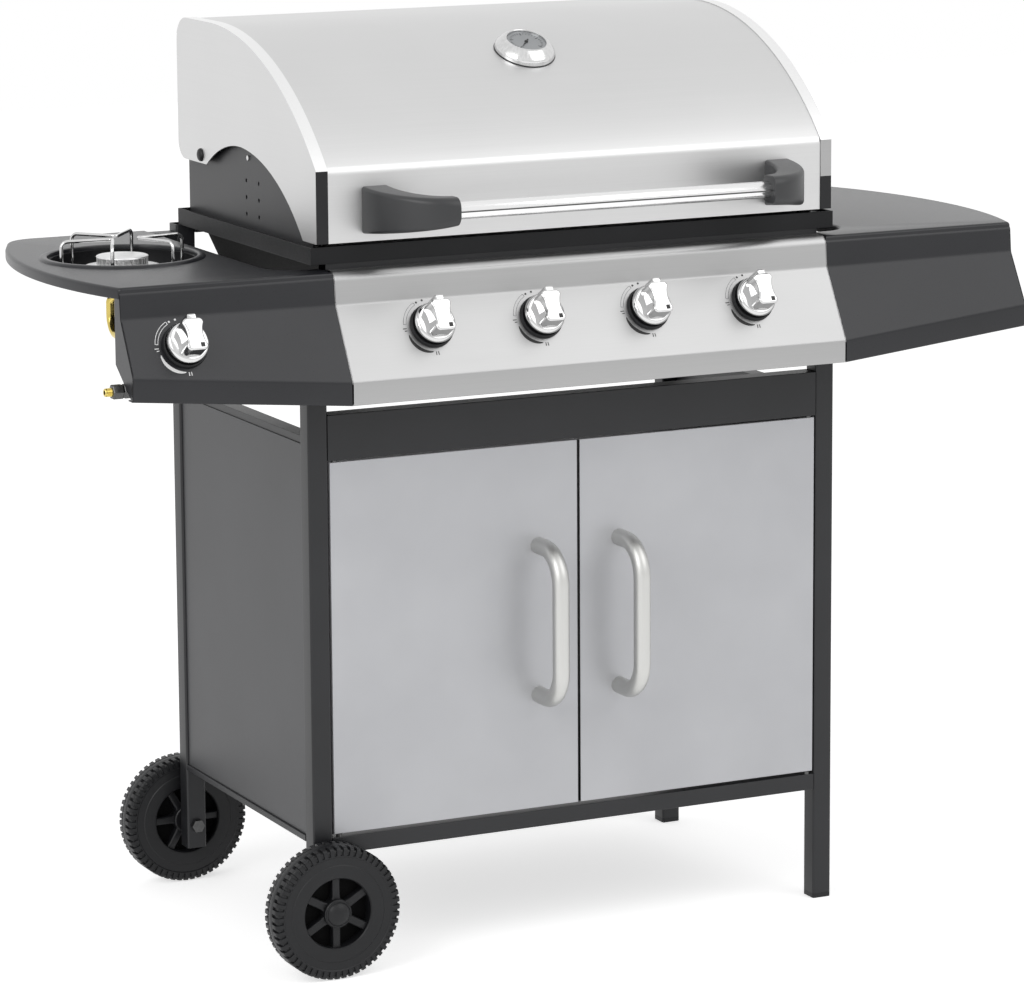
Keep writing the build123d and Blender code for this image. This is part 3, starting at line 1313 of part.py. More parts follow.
BAR_Y = LID_FRONT_Y - HANDLE_STANDOFF
BAR_HALF = HANDLE_SHOW + HANDLE_TUCK
with BuildPart() as lid_handle_bar:
    rod((-BAR_HALF, BAR_Y, HANDLE_Z), (BAR_HALF, BAR_Y, HANDLE_Z), HANDLE_R)
save(lid_handle_bar, "lid_handle_bar")

ARM_TURN_X = HANDLE_SHOW + SLEEVE_L
ARM_SWING = FOOT_EDGE_X - FOOT_W / 2 - ARM_TURN_X
with BuildPart() as lid_handle_brackets:
    for step in range(ARM_STEPS + 1):
        share = step / ARM_STEPS
        angle = radians(90 * share)
        centre = (
            -ARM_TURN_X - ARM_SWING * cos(angle),
            LID_FRONT_Y - HANDLE_STANDOFF * sin(angle),
            HANDLE_Z + FOOT_LIFT * (1 - share),
        )
        heading = (ARM_SWING * sin(angle), -HANDLE_STANDOFF * cos(angle), 0)
        if step == 0:
            heading = (0, -1, 0)
        width = FOOT_W + (2 * SLEEVE_R - FOOT_W) * share
        height = FOOT_TALL + (2 * SLEEVE_R - FOOT_TALL) * share
        with BuildSketch(Plane(origin=centre, x_dir=(-heading[1], heading[0], 0), z_dir=heading)):
            RectangleRounded(width, height, FOOT_CORNER_R + (ARM_TIP_CORNER_R - FOOT_CORNER_R) * share)
    loft()
    rod((-ARM_TURN_X, BAR_Y, HANDLE_Z), (-HANDLE_SHOW, BAR_Y, HANDLE_Z), SLEEVE_R)
    rod(
        (-BAR_HALF - SEAT_CLEARANCE, BAR_Y, HANDLE_Z),
        (0, BAR_Y, HANDLE_Z),
        HANDLE_R + SEAT_CLEARANCE,
        Mode.SUBTRACT,
    )
    mirror(about=Plane.YZ)
save(lid_handle_brackets, "lid_handle_brackets")

# Thermometer: conical bezel on the curved sheet, a flat dial and a probe through the sheet
with BuildPart() as thermometer:
    with BuildSketch(DIAL_PLANE.offset(-DIAL_GLASS_T)):
        Circle(DIAL_BASE_R)
    extrude(amount=DIAL_GLASS_T)
    with BuildSketch(DIAL_PLANE):
        Circle(DIAL_BASE_R)
    with BuildSketch(DIAL_PLANE.offset(DIAL_H)):
        Circle(DIAL_TOP_R)
    loft()
    with BuildSketch(DIAL_PLANE.offset(DIAL_H)):
        Circle(DIAL_GLASS_R)
    extrude(amount=-2 * DIAL_GLASS_T, mode=Mode.SUBTRACT)
    with Locations(Location((0, *LID_CENTRE), (0, 90, 0))):
        Cylinder(LID_R, 4 * DIAL_BASE_R, mode=Mode.SUBTRACT)
    with BuildSketch(DIAL_PLANE.offset(DIAL_GLASS_T)):
        Circle(PROBE_R)
    extrude(amount=-PROBE_L)
save(thermometer, "thermometer")

with BuildPart() as thermometer_dial:
    with BuildSketch(DIAL_PLANE.offset(DIAL_H - 2 * DIAL_GLASS_T)):
        Circle(DIAL_GLASS_R - SEAT_CLEARANCE)
    extrude(amount=DIAL_GLASS_T)
save(thermometer_dial, "thermometer_dial")

# Hinge pins through the lid ends and the firebox walls
with BuildPart() as lid_hinge_pins:
    for side in SIDES:
        at_y = MID_Y + HINGE_Y
        head_x = side * (LID_HALF + PART_GAP)
        end_in = side * (LID_HALF - LID_END_T - PART_GAP)
        wall_in = side * (WALL_X - WALL_T)
        rod((head_x, at_y, HINGE_Z), (head_x + side * HINGE_HEAD_H, at_y, HINGE_Z), HINGE_HEAD_R)
        rod((head_x, at_y, HINGE_Z), (wall_in, at_y, HINGE_Z), HINGE_R)
        rod((side * WALL_X, at_y, HINGE_Z), (end_in, at_y, HINGE_Z), HINGE_HEAD_R)
        rod((wall_in, at_y, HINGE_Z), (wall_in - side * HINGE_HEAD_H, at_y, HINGE_Z), HINGE_HEAD_R)
save(lid_hinge_pins, "lid_hinge_pins")
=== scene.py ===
"""Looks of a gas barbecue grill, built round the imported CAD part."""
import json
from math import atan2, copysign, cos, hypot, pi, radians, sin, sqrt, tan

import bmesh
import bpy
from mathutils import Matrix, Vector


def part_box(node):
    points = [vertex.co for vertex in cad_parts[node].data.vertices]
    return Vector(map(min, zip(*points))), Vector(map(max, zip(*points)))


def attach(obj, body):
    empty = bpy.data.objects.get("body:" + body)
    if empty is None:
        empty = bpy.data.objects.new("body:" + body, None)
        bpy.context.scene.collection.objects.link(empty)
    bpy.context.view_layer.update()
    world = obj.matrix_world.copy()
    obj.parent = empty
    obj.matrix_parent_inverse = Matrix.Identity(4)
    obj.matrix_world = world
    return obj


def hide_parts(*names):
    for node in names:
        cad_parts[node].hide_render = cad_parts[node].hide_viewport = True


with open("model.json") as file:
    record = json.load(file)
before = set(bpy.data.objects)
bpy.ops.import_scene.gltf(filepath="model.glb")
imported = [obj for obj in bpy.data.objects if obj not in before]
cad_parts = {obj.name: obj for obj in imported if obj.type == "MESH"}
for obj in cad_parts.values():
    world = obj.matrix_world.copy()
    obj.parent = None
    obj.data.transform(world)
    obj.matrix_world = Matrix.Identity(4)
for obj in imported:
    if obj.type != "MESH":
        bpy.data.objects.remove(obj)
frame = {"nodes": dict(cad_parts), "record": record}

SCENE = bpy.context.scene
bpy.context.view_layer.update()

MM = 0.001
MID_Y = 31.0
FRONT = -181.0
BACK = 243.0
SHARP = 32.0
SMOOTH = 40.0
MOULD_SHARP = 34.0
WELD_M = 2e-6
HEX_SIDES = 6
ROUND_STEPS = 72
FLAT_TURN = 0.4

RECORD = frame["record"]
# The body and the material slot of each CAD node
SLOT_OF = {row["node"]: row["material_slot"] for row in RECORD["subparts"]}
BODIES = RECORD["behaviour"]["bodies"]
BODY_OF = {node: body for body, nodes in BODIES.items() for node in nodes}
SIDES = (("left", -1), ("right", 1))


# Materials

# Stretch of a noise that runs the same in all directions
EVEN = (1, 1, 1)
NOISE_LOW = 0.3
NOISE_HIGH = 0.7
PAINT_CLOUD = 9.0
PAINT_RELIEF_M = 0.0004
STEEL_CLOUD = 6.0
STEEL_RELIEF_M = 0.0002
STREAK_SHARE = 0.6


def new_material(name):
    """An empty material with its node tree and its shader."""
    made = bpy.data.materials.new(name)
    made.use_nodes = True
    return made, made.node_tree, made.node_tree.nodes["Principled BSDF"]


def wire(tree, node, inputs):
    """Fill a node's inputs: an output is linked, anything else is set as the value."""
    for name, value in inputs.items():
        if isinstance(value, bpy.types.NodeSocket):
            tree.links.new(value, node.inputs[name])
        else:
            node.inputs[name].default_value = value


def added(tree, kind, inputs, result):
    """One output of a new node with its inputs filled."""
    node = tree.nodes.new(kind)
    wire(tree, node, inputs)
    return node.outputs[result]


def math_node(tree, operation, *values):
    """A math node over outputs and numbers."""
    node = tree.nodes.new("ShaderNodeMath")
    node.operation = operation
    wire(tree, node, dict(enumerate(values)))
    return node.outputs[0]


def noise(tree, stretch, scale, detail=2.0):
    """Noise over the object's own coordinates, stretched along its axes."""
    place = added(tree, "ShaderNodeTexCoord", {}, "Object")
    mapped = added(tree, "ShaderNodeMapping", {"Vector": place, "Scale": stretch}, "Vector")
    inputs = {"Vector": mapped, "Scale": scale, "Detail": detail}
    return added(tree, "ShaderNodeTexNoise", inputs, "Fac")


def span(tree, value, low, high):
    """The noise value spread between two numbers."""
    inputs = {"Value": value, "From Min": NOISE_LOW, "From Max": NOISE_HIGH, "To Min": low, "To Max": high}
    return added(tree, "ShaderNodeMapRange", inputs, "Result")


def tint(tree, value, dark, light):
    """The noise value as a colour between two tones, each a grey or a colour."""
    ramp = tree.nodes.new("ShaderNodeValToRGB")
    ramp.color_ramp.elements[0].position = NOISE_LOW
    ramp.color_ramp.elements[1].position = NOISE_HIGH
    for element, tone in zip(ramp.color_ramp.elements, (dark, light)):
        element.color = (*tone, 1.0) if isinstance(tone, tuple) else (tone, tone, tone, 1.0)
    tree.links.new(value, ramp.inputs["Fac"])
    return ramp.outputs["Color"]


def relief(tree, value, strength, distance):
    """A fine bump from a noise value."""
    inputs = {"Height": value, "Strength": strength, "Distance": distance}
    return added(tree, "ShaderNodeBump", inputs, "Normal")


def paint(name, dark, light, rough, grain, bump, metallic=0.0, specular=0.5):
    """Powder coat: a fine orange-peel grain over a slow change of tone."""
    made, tree, shader = new_material(name)
    fine = noise(tree, EVEN, grain, detail=3.0)
    slow = noise(tree, EVEN, PAINT_CLOUD, detail=3.0)
    look = {
        "Metallic": metallic,
        "Specular IOR Level": specular,
        "Base Color": tint(tree, slow, dark, light),
        "Roughness": span(tree, fine, *rough),
        "Normal": relief(tree, fine, bump, PAINT_RELIEF_M),
    }
    wire(tree, shader, look)
    return made


def brushed(name, dark, light, rough, stretch, bump, anisotropy=0.4):
    """Brushed steel: streaks along one direction in tone, gloss and relief."""
    made, tree, shader = new_material(name)
    streak = noise(tree, stretch, 1.0, detail=4.0)
    slow = noise(tree, EVEN, STEEL_CLOUD)
    part = math_node(tree, "MULTIPLY", slow, 1 - STREAK_SHARE)
    both = math_node(tree, "MULTIPLY_ADD", streak, STREAK_SHARE, part)
    look = {
        "Metallic": 1.0,
        "Anisotropic": anisotropy,
        "Base Color": tint(tree, both, dark, light),
        "Roughness": span(tree, streak, *rough),
        "Normal": relief(tree, streak, bump, STEEL_RELIEF_M),
    }
    wire(tree, shader, look)
    return made


# Each paint: dark and light tone, span of roughness, grain, bump, then metallic and specular if not plain
PAINTS = {
    "frame_paint": ((0.014, 0.0145, 0.016), (0.019, 0.0195, 0.022), (0.34, 0.44), 1600, 0.10, 0.0, 0.42),
    "panel_paint": ((0.034, 0.035, 0.038), (0.041, 0.042, 0.046), (0.36, 0.46), 1600, 0.10),
    "table_paint": ((0.011, 0.0115, 0.0142), (0.015, 0.0156, 0.0188), (0.27, 0.36), 1300, 0.16, 0.0, 0.44),
    "door_paint": ((0.50, 0.505, 0.525), (0.54, 0.545, 0.565), (0.34, 0.42), 1800, 0.05, 0.35),
    "enamel": ((0.006, 0.0062, 0.007), (0.010, 0.0102, 0.0115), (0.42, 0.54), 700, 0.10, 0.0, 0.24),
    "grate_iron": ((0.014, 0.014, 0.015), (0.022, 0.022, 0.024), (0.40, 0.60), 900, 0.35),
    "black_plastic": ((0.007, 0.0073, 0.0085), (0.011, 0.0114, 0.013), (0.38, 0.50), 1500, 0.16, 0.0, 0.36),
    "dial_face": ((0.30, 0.31, 0.32), (0.35, 0.36, 0.37), (0.30, 0.40), 600, 0.04, 0.5),
    "wall_paint": ((0.026, 0.0265, 0.0285), (0.032, 0.0325, 0.035), (0.36, 0.46), 1600, 0.10),
    # Near-black used as painted shade: on the firebox tub under its rim and on the wheel webs between the
    # spokes
    "shade_black": (0.003, 0.005, (0.60, 0.75), 700, 0.10, 0.0, 0.08),
    "black_ink": (0.012, 0.01696, (0.42, 0.55), 900, 0.05),
    "white_ink": (0.82, 0.8896, (0.42, 0.55), 900, 0.05),
    "bracket_plastic": ((0.030, 0.031, 0.033), (0.038, 0.039, 0.041), (0.34, 0.46), 1500, 0.14),
}
# Each steel: dark and light tone, span of roughness, stretch of the streaks, bump, then anisotropy
STEELS = {
    "stainless": (0.62, 0.66, (0.37, 0.43), (4, 1200, 1200), 0.008, 0.2),
    "lid_end_steel": (0.66, 0.70, (0.34, 0.40), (1200, 5, 1200), 0.01, 0.2),
    "pull_steel": ((0.56, 0.56, 0.545), (0.60, 0.60, 0.585), (0.40, 0.46), (900, 900, 40), 0.008, 0.0),
    "bright_chrome": (0.62, 0.68, (0.04, 0.09), (60, 60, 60), 0.0, 0.0),
    "inner_steel": (0.42, 0.52, (0.30, 0.46), (400, 12, 400), 0.06),
    "fastener_steel": (0.50, 0.60, (0.26, 0.40), (300, 300, 300), 0.05, 0.0),
    "burner_alloy": (0.74, 0.86, (0.32, 0.50), (500, 500, 500), 0.16, 0.0),
    "brass": ((0.60, 0.47, 0.12), (0.70, 0.56, 0.18), (0.16, 0.28), (200, 200, 200), 0.03, 0.0),
    "panel_steel": (0.39, 0.42, (0.36, 0.42), (4, 1200, 1200), 0.008, 0.2),
    "lip_steel": (0.80, 0.86, (0.34, 0.40), (1200, 5, 1200), 0.01, 0.2),
    "bezel_steel": (0.58, 0.74, (0.14, 0.24), (300, 300, 20), 0.02, 0.0),
    "dark_steel": (0.08, 0.13, (0.28, 0.42), (300, 300, 300), 0.05, 0.0),
    "bar_steel": (0.78, 0.86, (0.14, 0.22), (3, 900, 900), 0.02),
}
FINISH = {name: paint(name, *row) for name, row in PAINTS.items()}
FINISH.update({name: brushed(name, *row) for name, row in STEELS.items()})


# Shapes


def linked(name, data):
    """A new object in the scene."""
    made = bpy.data.objects.new(name, data)
    SCENE.collection.objects.link(made)
    return made


def new_piece(name, points, faces, joined=False):
    """A mesh object in metres, faces outwards and, if asked, flat faces joined."""
    mesh = bpy.data.meshes.new(name)
    mesh.from_pydata(points, [], faces)
    work = bmesh.new()
    work.from_mesh(mesh)
    if joined:
        bmesh.ops.remove_doubles(work, verts=work.verts, dist=WELD_M)
        turn = radians(FLAT_TURN)
        bmesh.ops.dissolve_limit(work, angle_limit=turn, verts=work.verts, edges=work.edges)
    bmesh.ops.recalc_face_normals(work, faces=work.faces)
    work.to_mesh(mesh)
    work.free()
    return linked(name, mesh)


class Shape:
    """Points in millimetres and faces that become one piece."""

    def __init__(self):
        self.points = []
        self.faces = []

    def loft(self, rings, caps=True, wrap=False):
        """A skin over closed rings with the same number of points each."""
        start = len(self.points)
        count = len(rings[0])
        for ring in rings:
            self.points.extend(Vector(point) for point in ring)
        pairs = len(rings) if wrap else len(rings) - 1
        for level in range(pairs):
            low = start + level * count
            high = start + ((level + 1) % len(rings)) * count
            for i in range(count):
                j = (i + 1) % count
                self.faces.append((low + i, low + j, high + j, high + i))
        if caps and not wrap:
            last = start + (len(rings) - 1) * count
            self.faces.append(tuple(start + i for i in reversed(range(count))))
            self.faces.append(tuple(last + i for i in range(count)))

    def block(self, low, high, grid=None):
        """A block between two corners, in a local grid if one is given."""
        plan = ((low[0], low[1]), (high[0], low[1]), (high[0], high[1]), (low[0], high[1]))
        rings = [[(*corner, z) for corner in plan] for z in (low[2], high[2])]
        if grid is not None:
            rings = [[grid @ Vector(point) for point in one] for one in rings]
        self.loft(rings)

    def piece(self, name):
        """The mesh object of this shape."""
        return new_piece(name, [tuple(point * MM) for point in self.points], self.faces)


def shade(piece, sharp):
    """Smooth shading, with edges past an angle kept sharp."""
    for face in piece.data.polygons:
        face.use_smooth = True
    piece.data.set_sharp_from_angle(angle=radians(sharp))


def settle(piece, body, slot, nodes=(), finish=None, sharp=SHARP, bevel=0.0):
    """Finish a piece in the named finish or else its slot's material, put it on its body and hide the nodes
    it stands for.
    """
    piece.data.materials.append(FINISH[finish or slot])
    shade(piece, sharp)
    if bevel:
        edge = piece.modifiers.new("edge", "BEVEL")
        edge.width = bevel * MM
        edge.segments = 2
        edge.limit_method = "ANGLE"
        edge.angle_limit = radians(sharp)
        edge.harden_normals = True
    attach(piece, body)
    if nodes:
        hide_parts(*nodes)
    return piece


def stand_in(shape, name, node, finish=None, sharp=SMOOTH):
    """Settle a shape in place of a CAD node, on its body, in the named finish or else its slot's material.
    """
    settle(shape.piece(name), BODY_OF[node], SLOT_OF[node], (node,), finish, sharp)


def dressed(node, bevel, finish=None):
    """A copy of a CAD node with rounded edges, standing for the node."""
    source = frame["nodes"][node].data
    points = [tuple(v.co) for v in source.vertices]
    piece = new_piece(node + "_dressed", points, [tuple(p.vertices) for p in source.polygons], True)
    return settle(piece, BODY_OF[node], SLOT_OF[node], (node,), finish, SHARP, bevel)


def split_at(piece, z, drop_below=False):
    """Cut a piece's faces at a height. What lies below may be dropped."""
    work = bmesh.new()
    work.from_mesh(piece.data)
    bmesh.ops.bisect_plane(
        work,
        geom=work.verts[:] + work.edges[:] + work.faces[:],
        plane_co=(0, 0, z * MM),
        plane_no=(0, 0, 1),
        clear_inner=drop_below,
    )
    if drop_below:
        bmesh.ops.holes_fill(work, edges=[edge for edge in work.edges if edge.is_boundary])
        bmesh.ops.recalc_face_normals(work, faces=work.faces)
    work.to_mesh(piece.data)
    work.free()


def second_finish(piece, finish, chosen):
    """Another finish on the faces that a test picks by centre, in millimetres, and normal."""
    piece.data.materials.append(FINISH[finish])
    for face in piece.data.polygons:
        if chosen(face.center / MM, face.normal):
            face.material_index = 1


def grid_at(origin, x_dir, z_dir):
    """A local grid: x along x_dir and z along z_dir."""
    z = Vector(z_dir).normalized()
    x = Vector(x_dir)
    x = (x - z * x.dot(z)).normalized()
    y = z.cross(x)
    grid = Matrix((x, y, z)).transposed().to_4x4()
    grid.translation = Vector(origin)
    return grid


def polar(radius, degrees):
    """A point of a plane, the angle running anticlockwise from the right."""
    return (radius * cos(radians(degrees)), radius * sin(radians(degrees)))


def circle(grid, radius, height, steps=64):
    """A ring of points round a grid's z axis."""
    ring = []
    for i in range(steps):
        turn = 2 * pi * i / steps
        ring.append(grid @ Vector((radius * cos(turn), radius * sin(turn), height)))
    return ring


def lathe(shape, grid, profile, steps=64, caps=True, wrap=False):
    """A turned form from (radius, height) pairs."""
    shape.loft([circle(grid, radius, height, steps) for radius, height in profile], caps, wrap)
    return shape


def rounded_ring(grid, width, tall, corner, height, steps=8):
    """A rounded rectangle in a grid, at a height."""
    ring = []
    for k, (sx, sy) in enumerate(((1, 1), (-1, 1), (-1, -1), (1, -1))):
        for i in range(steps + 1):
            turn = radians(90 * k + 90 * i / steps)
            x = sx * (width / 2 - corner) + corner * cos(turn)
            y = sy * (tall / 2 - corner) + corner * sin(turn)
            ring.append(grid @ Vector((x, y, height)))
    return ring


def arc3(a, b, c, steps):
    """Points on the anticlockwise arc through three points of a plane."""
    ax, ay, bx, by, cx, cy = *a, *b, *c
    d = 2 * (ax * (by - cy) + bx * (cy - ay) + cx * (ay - by))
    ux = ((ax**2 + ay**2) * (by - cy) + (bx**2 + by**2) * (cy - ay) + (cx**2 + cy**2) * (ay - by)) / d
    uy = ((ax**2 + ay**2) * (cx - bx) + (bx**2 + by**2) * (ax - cx) + (cx**2 + cy**2) * (bx - ax)) / d
    radius = hypot(ax - ux, ay - uy)
    first = atan2(ay - uy, ax - ux)
    sweep = (atan2(cy - uy, cx - ux) - first) % (2 * pi)
    turns = [first + sweep * i / steps for i in range(steps + 1)]
    return [(ux + radius * cos(turn), uy + radius * sin(turn)) for turn in turns]


def bent_path(points, radii, steps=10):
    """A polyline with its corners rounded."""
    points = [Vector(p) for p in points]
    path = [points[0]]
    for k in range(1, len(points) - 1):
        before = (points[k - 1] - points[k]).normalized()
        after = (points[k + 1] - points[k]).normalized()
        half = before.angle(after) / 2
        radius = radii[k - 1] if isinstance(radii, (list, tuple)) else radii
        reach = radius / tan(half)
        middle = points[k] + (before + after).normalized() * (radius / sin(half))
        first = points[k] + before * reach - middle
        last = points[k] + after * reach - middle
        turn = first.angle(last)
        for i in range(steps + 1):
            share = i / steps
            arm = first * sin(turn * (1 - share)) + last * sin(turn * share)
            path.append(middle + arm / sin(turn))
    path.append(points[-1])
    return path


def heading(path, i):
    """The direction of a path at one of its points."""
    return (path[min(i + 1, len(path) - 1)] - path[max(i - 1, 0)]).normalized()


def beside(path, distance):
    """A line in the YZ plane at a distance from a path."""
    line = []
    for i, point in enumerate(path):
        along = heading(path, i)
        line.append(point + Vector((0, along.z, -along.y)) * distance)
    return line


def tube(shape, path, radius, sides=24):
    """A round wire along a path."""
    across = None
    rings = []
    for i, point in enumerate(path):
        ahead = heading(path, i)
        if across is None:
            across = ahead.orthogonal().normalized()
        across = (across - ahead * across.dot(ahead)).normalized()
        rings.append(circle(grid_at(point, across, ahead), radius, 0.0, sides))
    shape.loft(rings)


# Sizes that the pieces share with the solids, in millimetres

LEG_IN = 325.0
SHEET = 1.5
TABLE_Z = 835.0
TABLE_EDGE_R = 4.0
TABLE_BAND_Z = 822.0
PANEL_TOP_Y = -203.0
CREASE = (-207.0, 797.0)
LOW = (-254.0, 714.0)
PANEL_FOOT_Z = 687.0
FASCIA_X = 587.0
FASCIA_GAP = 0.4
FASCIA_BACK_Y = -187.0
FASCIA_CREASE_Z = 799.0
FASCIA_LOW_Z = 737.0
FASCIA_FOOT_Z = 710.0
FASCIA_TUCK = 2.0
FASCIA_CUT_Z = 746.0
BEND_RS = (6.0, 14.0, 9.0, 2.0)
PANEL_BEND_RS = (12.0, 10.0, 7.0, 2.0)
LIP = 14.0
SLOPE = (Vector((0, *LOW)) - Vector((0, *CREASE))).normalized()
SLOPE_OUT = Vector((0, SLOPE.z, -SLOPE.y))
KNOB_DOWN = 34.5
KNOB_XS = {"side": -518.0, "1": -211.5, "2": -70.5, "3": 70.5, "4": 211.5}
BURNER = (-493.0, MID_Y)
BURNER_GRID = grid_at((*BURNER, 0), (1, 0, 0), (0, 0, 1))
LID_HALF = 339.5
LID_FRONT_Y = -189.0
LID_BOTTOM_Z = 866.0
LID_CREASE_Z = 950.0
LID_APEX = (128.0, 1096.0)
LID_BACK = (232.0, 1000.0)
LID_BACK_R = 30.0
WHEEL_X = -337.5
WHEEL_R = 80.0
WHEEL_W = 36.0
HANDLE_Y = -277.0
HANDLE_Z = 907.0


def knob_grid(x):
    """The grid on the sloped face under a knob: y runs up the slope and z out of it."""
    return grid_at(Vector((x, *CREASE)) + SLOPE * KNOB_DOWN, (1, 0, 0), SLOPE_OUT)


def slope_y(z):
    """Where the sloped face lies at a height."""
    return CREASE[0] + (CREASE[1] - z) * SLOPE.y / -SLOPE.z


# Front: control panel and fascias as folded sheets with soft creases


def folded(corners, radii):
    """The outer line of a folded sheet's section in the YZ plane."""
    return bent_path([(0.0, *corner) for corner in corners], radii, steps=8)


def sheet_front(shape, sections, plates, radii=BEND_RS):
    """A sheet through (x, corners) sections, with an end plate at each x in plates."""
    rings = []
    for x, corners in sections:
        outer = folded(corners, radii)
        rings.append([Vector((x, p.y, p.z)) for p in outer + beside(outer, -SHEET)[::-1]])
    shape.loft(rings)
    for x, inward, corners, closing in plates:
        edge = [(p.y, p.z) for p in folded(corners, radii)] + list(closing)
        shape.loft([[Vector((at, *p)) for p in edge] for at in (x, x + inward)])


def panel_corners(back, top):
    """The corners of the control panel's section."""
    return (
        (back, top),
        (PANEL_TOP_Y, top),
        CREASE,
        LOW,
        (LOW[0], PANEL_FOOT_Z),
        (LOW[0] + LIP, PANEL_FOOT_Z),
    )


def tip_corners():
    """The corners of a fascia's section at its outer end."""
    foot_y = slope_y(FASCIA_LOW_Z) + FASCIA_TUCK
    return (
        (FASCIA_BACK_Y, TABLE_Z - TABLE_EDGE_R),
        (PANEL_TOP_Y, TABLE_Z - TABLE_EDGE_R),
        (slope_y(FASCIA_CREASE_Z), FASCIA_CREASE_Z),
        (slope_y(FASCIA_LOW_Z), FASCIA_LOW_Z),
        (foot_y, FASCIA_FOOT_Z),
        (foot_y + LIP, FASCIA_FOOT_Z),
    )


def control_panel():
    """The steel front between the two fascias."""
    shape = Shape()
    corners = panel_corners(FRONT, TABLE_Z)
    plates = [(side * LEG_IN, -side * SHEET, corners, ((FRONT, PANEL_FOOT_Z),)) for side in (-1, 1)]
    sheet_front(shape, [(-LEG_IN, corners), (LEG_IN, corners)], plates, PANEL_BEND_RS)
    stand_in(shape, "control_panel_sheet", "control_panel", "panel_steel")


def fascia(word, side):
    """A painted front under one table, tapered towards its outer end."""
    shape = Shape()
    root = panel_corners(FASCIA_BACK_Y, TABLE_Z - TABLE_EDGE_R)
    tip = tip_corners()
    closing = ((FASCIA_BACK_Y, FASCIA_CUT_Z),)
    sheet_front(
        shape,
        [(side * (LEG_IN + FASCIA_GAP), root), (side * FASCIA_X, tip)],
        [(side * FASCIA_X, -side * SHEET, tip[:5] + ((tip[4][0] + 2 * SHEET, FASCIA_FOOT_Z),), closing)],
    )
    stand_in(shape, word + "_fascia_sheet", word + "_fascia")


control_panel()
for word, side in SIDES:
    fascia(word, side)


# Tables: rolled edges, a turned-down band and, on the left, a ringed hole

TABLE_INNER_X = 382.0
TABLE_BULGE = (618.0, 1.0)
TABLE_BACK_CORNER = (560.0, 241.0)
TABLE_CORNER_R = 45.0
TABLE_NOTCH_Y = -164.0
TABLE_NOTCH_R = 38.0
TABLE_FRONT_R = 5.0
BOW_STEPS = 40
# Points of the bow that its rounded corners take up
BOW_FRONT = 3
BOW_BACK = -7
MITRE_LEAST = 0.4
LEVEL_GAP = 0.1
BAND_T = 1.5
BAND_SETBACK = 2.4
HOLE_R = 88.0
TABLE_UNDER_Z = TABLE_Z - 2.0
BAND_EDGE = 0.6
EDGE_STEPS = 5
HOLE_STEPS = 96
SHEET_WELD_M = 2e-5
RING_PROFILE = (
    (98.6, 834.6), (98.2, 835.4), (96.2, 837.4), (94.4, 838.0), (90.4, 838.0),
    (88.6, 837.2), (88.0, 835.8), (HOLE_R, TABLE_UNDER_Z),
)


def rounded_line(corners, radius, steps):
    """A line of a plan with its corner rounded."""
    return [(p.x, p.y) for p in bent_path([(*corner, 0) for corner in corners], radius, steps)]


def table_plan():
    """The right table's outline, anticlockwise from above."""
    bow = arc3((FASCIA_X, PANEL_TOP_Y), TABLE_BULGE, TABLE_BACK_CORNER, BOW_STEPS)
    inner_back = (TABLE_INNER_X, TABLE_BACK_CORNER[1])
    notch_line = (inner_back, (TABLE_INNER_X, TABLE_NOTCH_Y), (LEG_IN, TABLE_NOTCH_Y))
    front = rounded_line(((LEG_IN, PANEL_TOP_Y), bow[0], bow[BOW_FRONT]), TABLE_FRONT_R, steps=6)[:-1]
    back = rounded_line((bow[BOW_BACK], bow[-1], inner_back), TABLE_CORNER_R, steps=12)
    notch = rounded_line(notch_line, TABLE_NOTCH_R, steps=10)
    return front + bow[BOW_FRONT:BOW_BACK] + back + notch[1:]


def inset(outline, distance):
    """An anticlockwise outline drawn in by a distance."""
    drawn = []
    for i, (x, y) in enumerate(outline):
        last_x, last_y = outline[i - 1]
        next_x, next_y = outline[(i + 1) % len(outline)]
        before = Vector((x - last_x, y - last_y)).normalized()
        after = Vector((next_x - x, next_y - y)).normalized()
        normal = Vector((-(before.y + after.y), before.x + after.x)).normalized()
        reach = distance / max(MITRE_LEAST, normal.dot(Vector((-before.y, before.x))))
        drawn.append((x + normal.x * reach, y + normal.y * reach))
    return drawn


def fill_flat(work, rings, z):
    """A flat face between an outline and the holes in it."""
    edges = []
    for ring in rings:
        corners = [work.verts.new((p[0] * MM, p[1] * MM, z * MM)) for p in ring]
        edges += [work.edges.new((corners[i], corners[i - 1])) for i in range(len(corners))]
    bmesh.ops.triangle_fill(work, use_beauty=True, edges=edges)


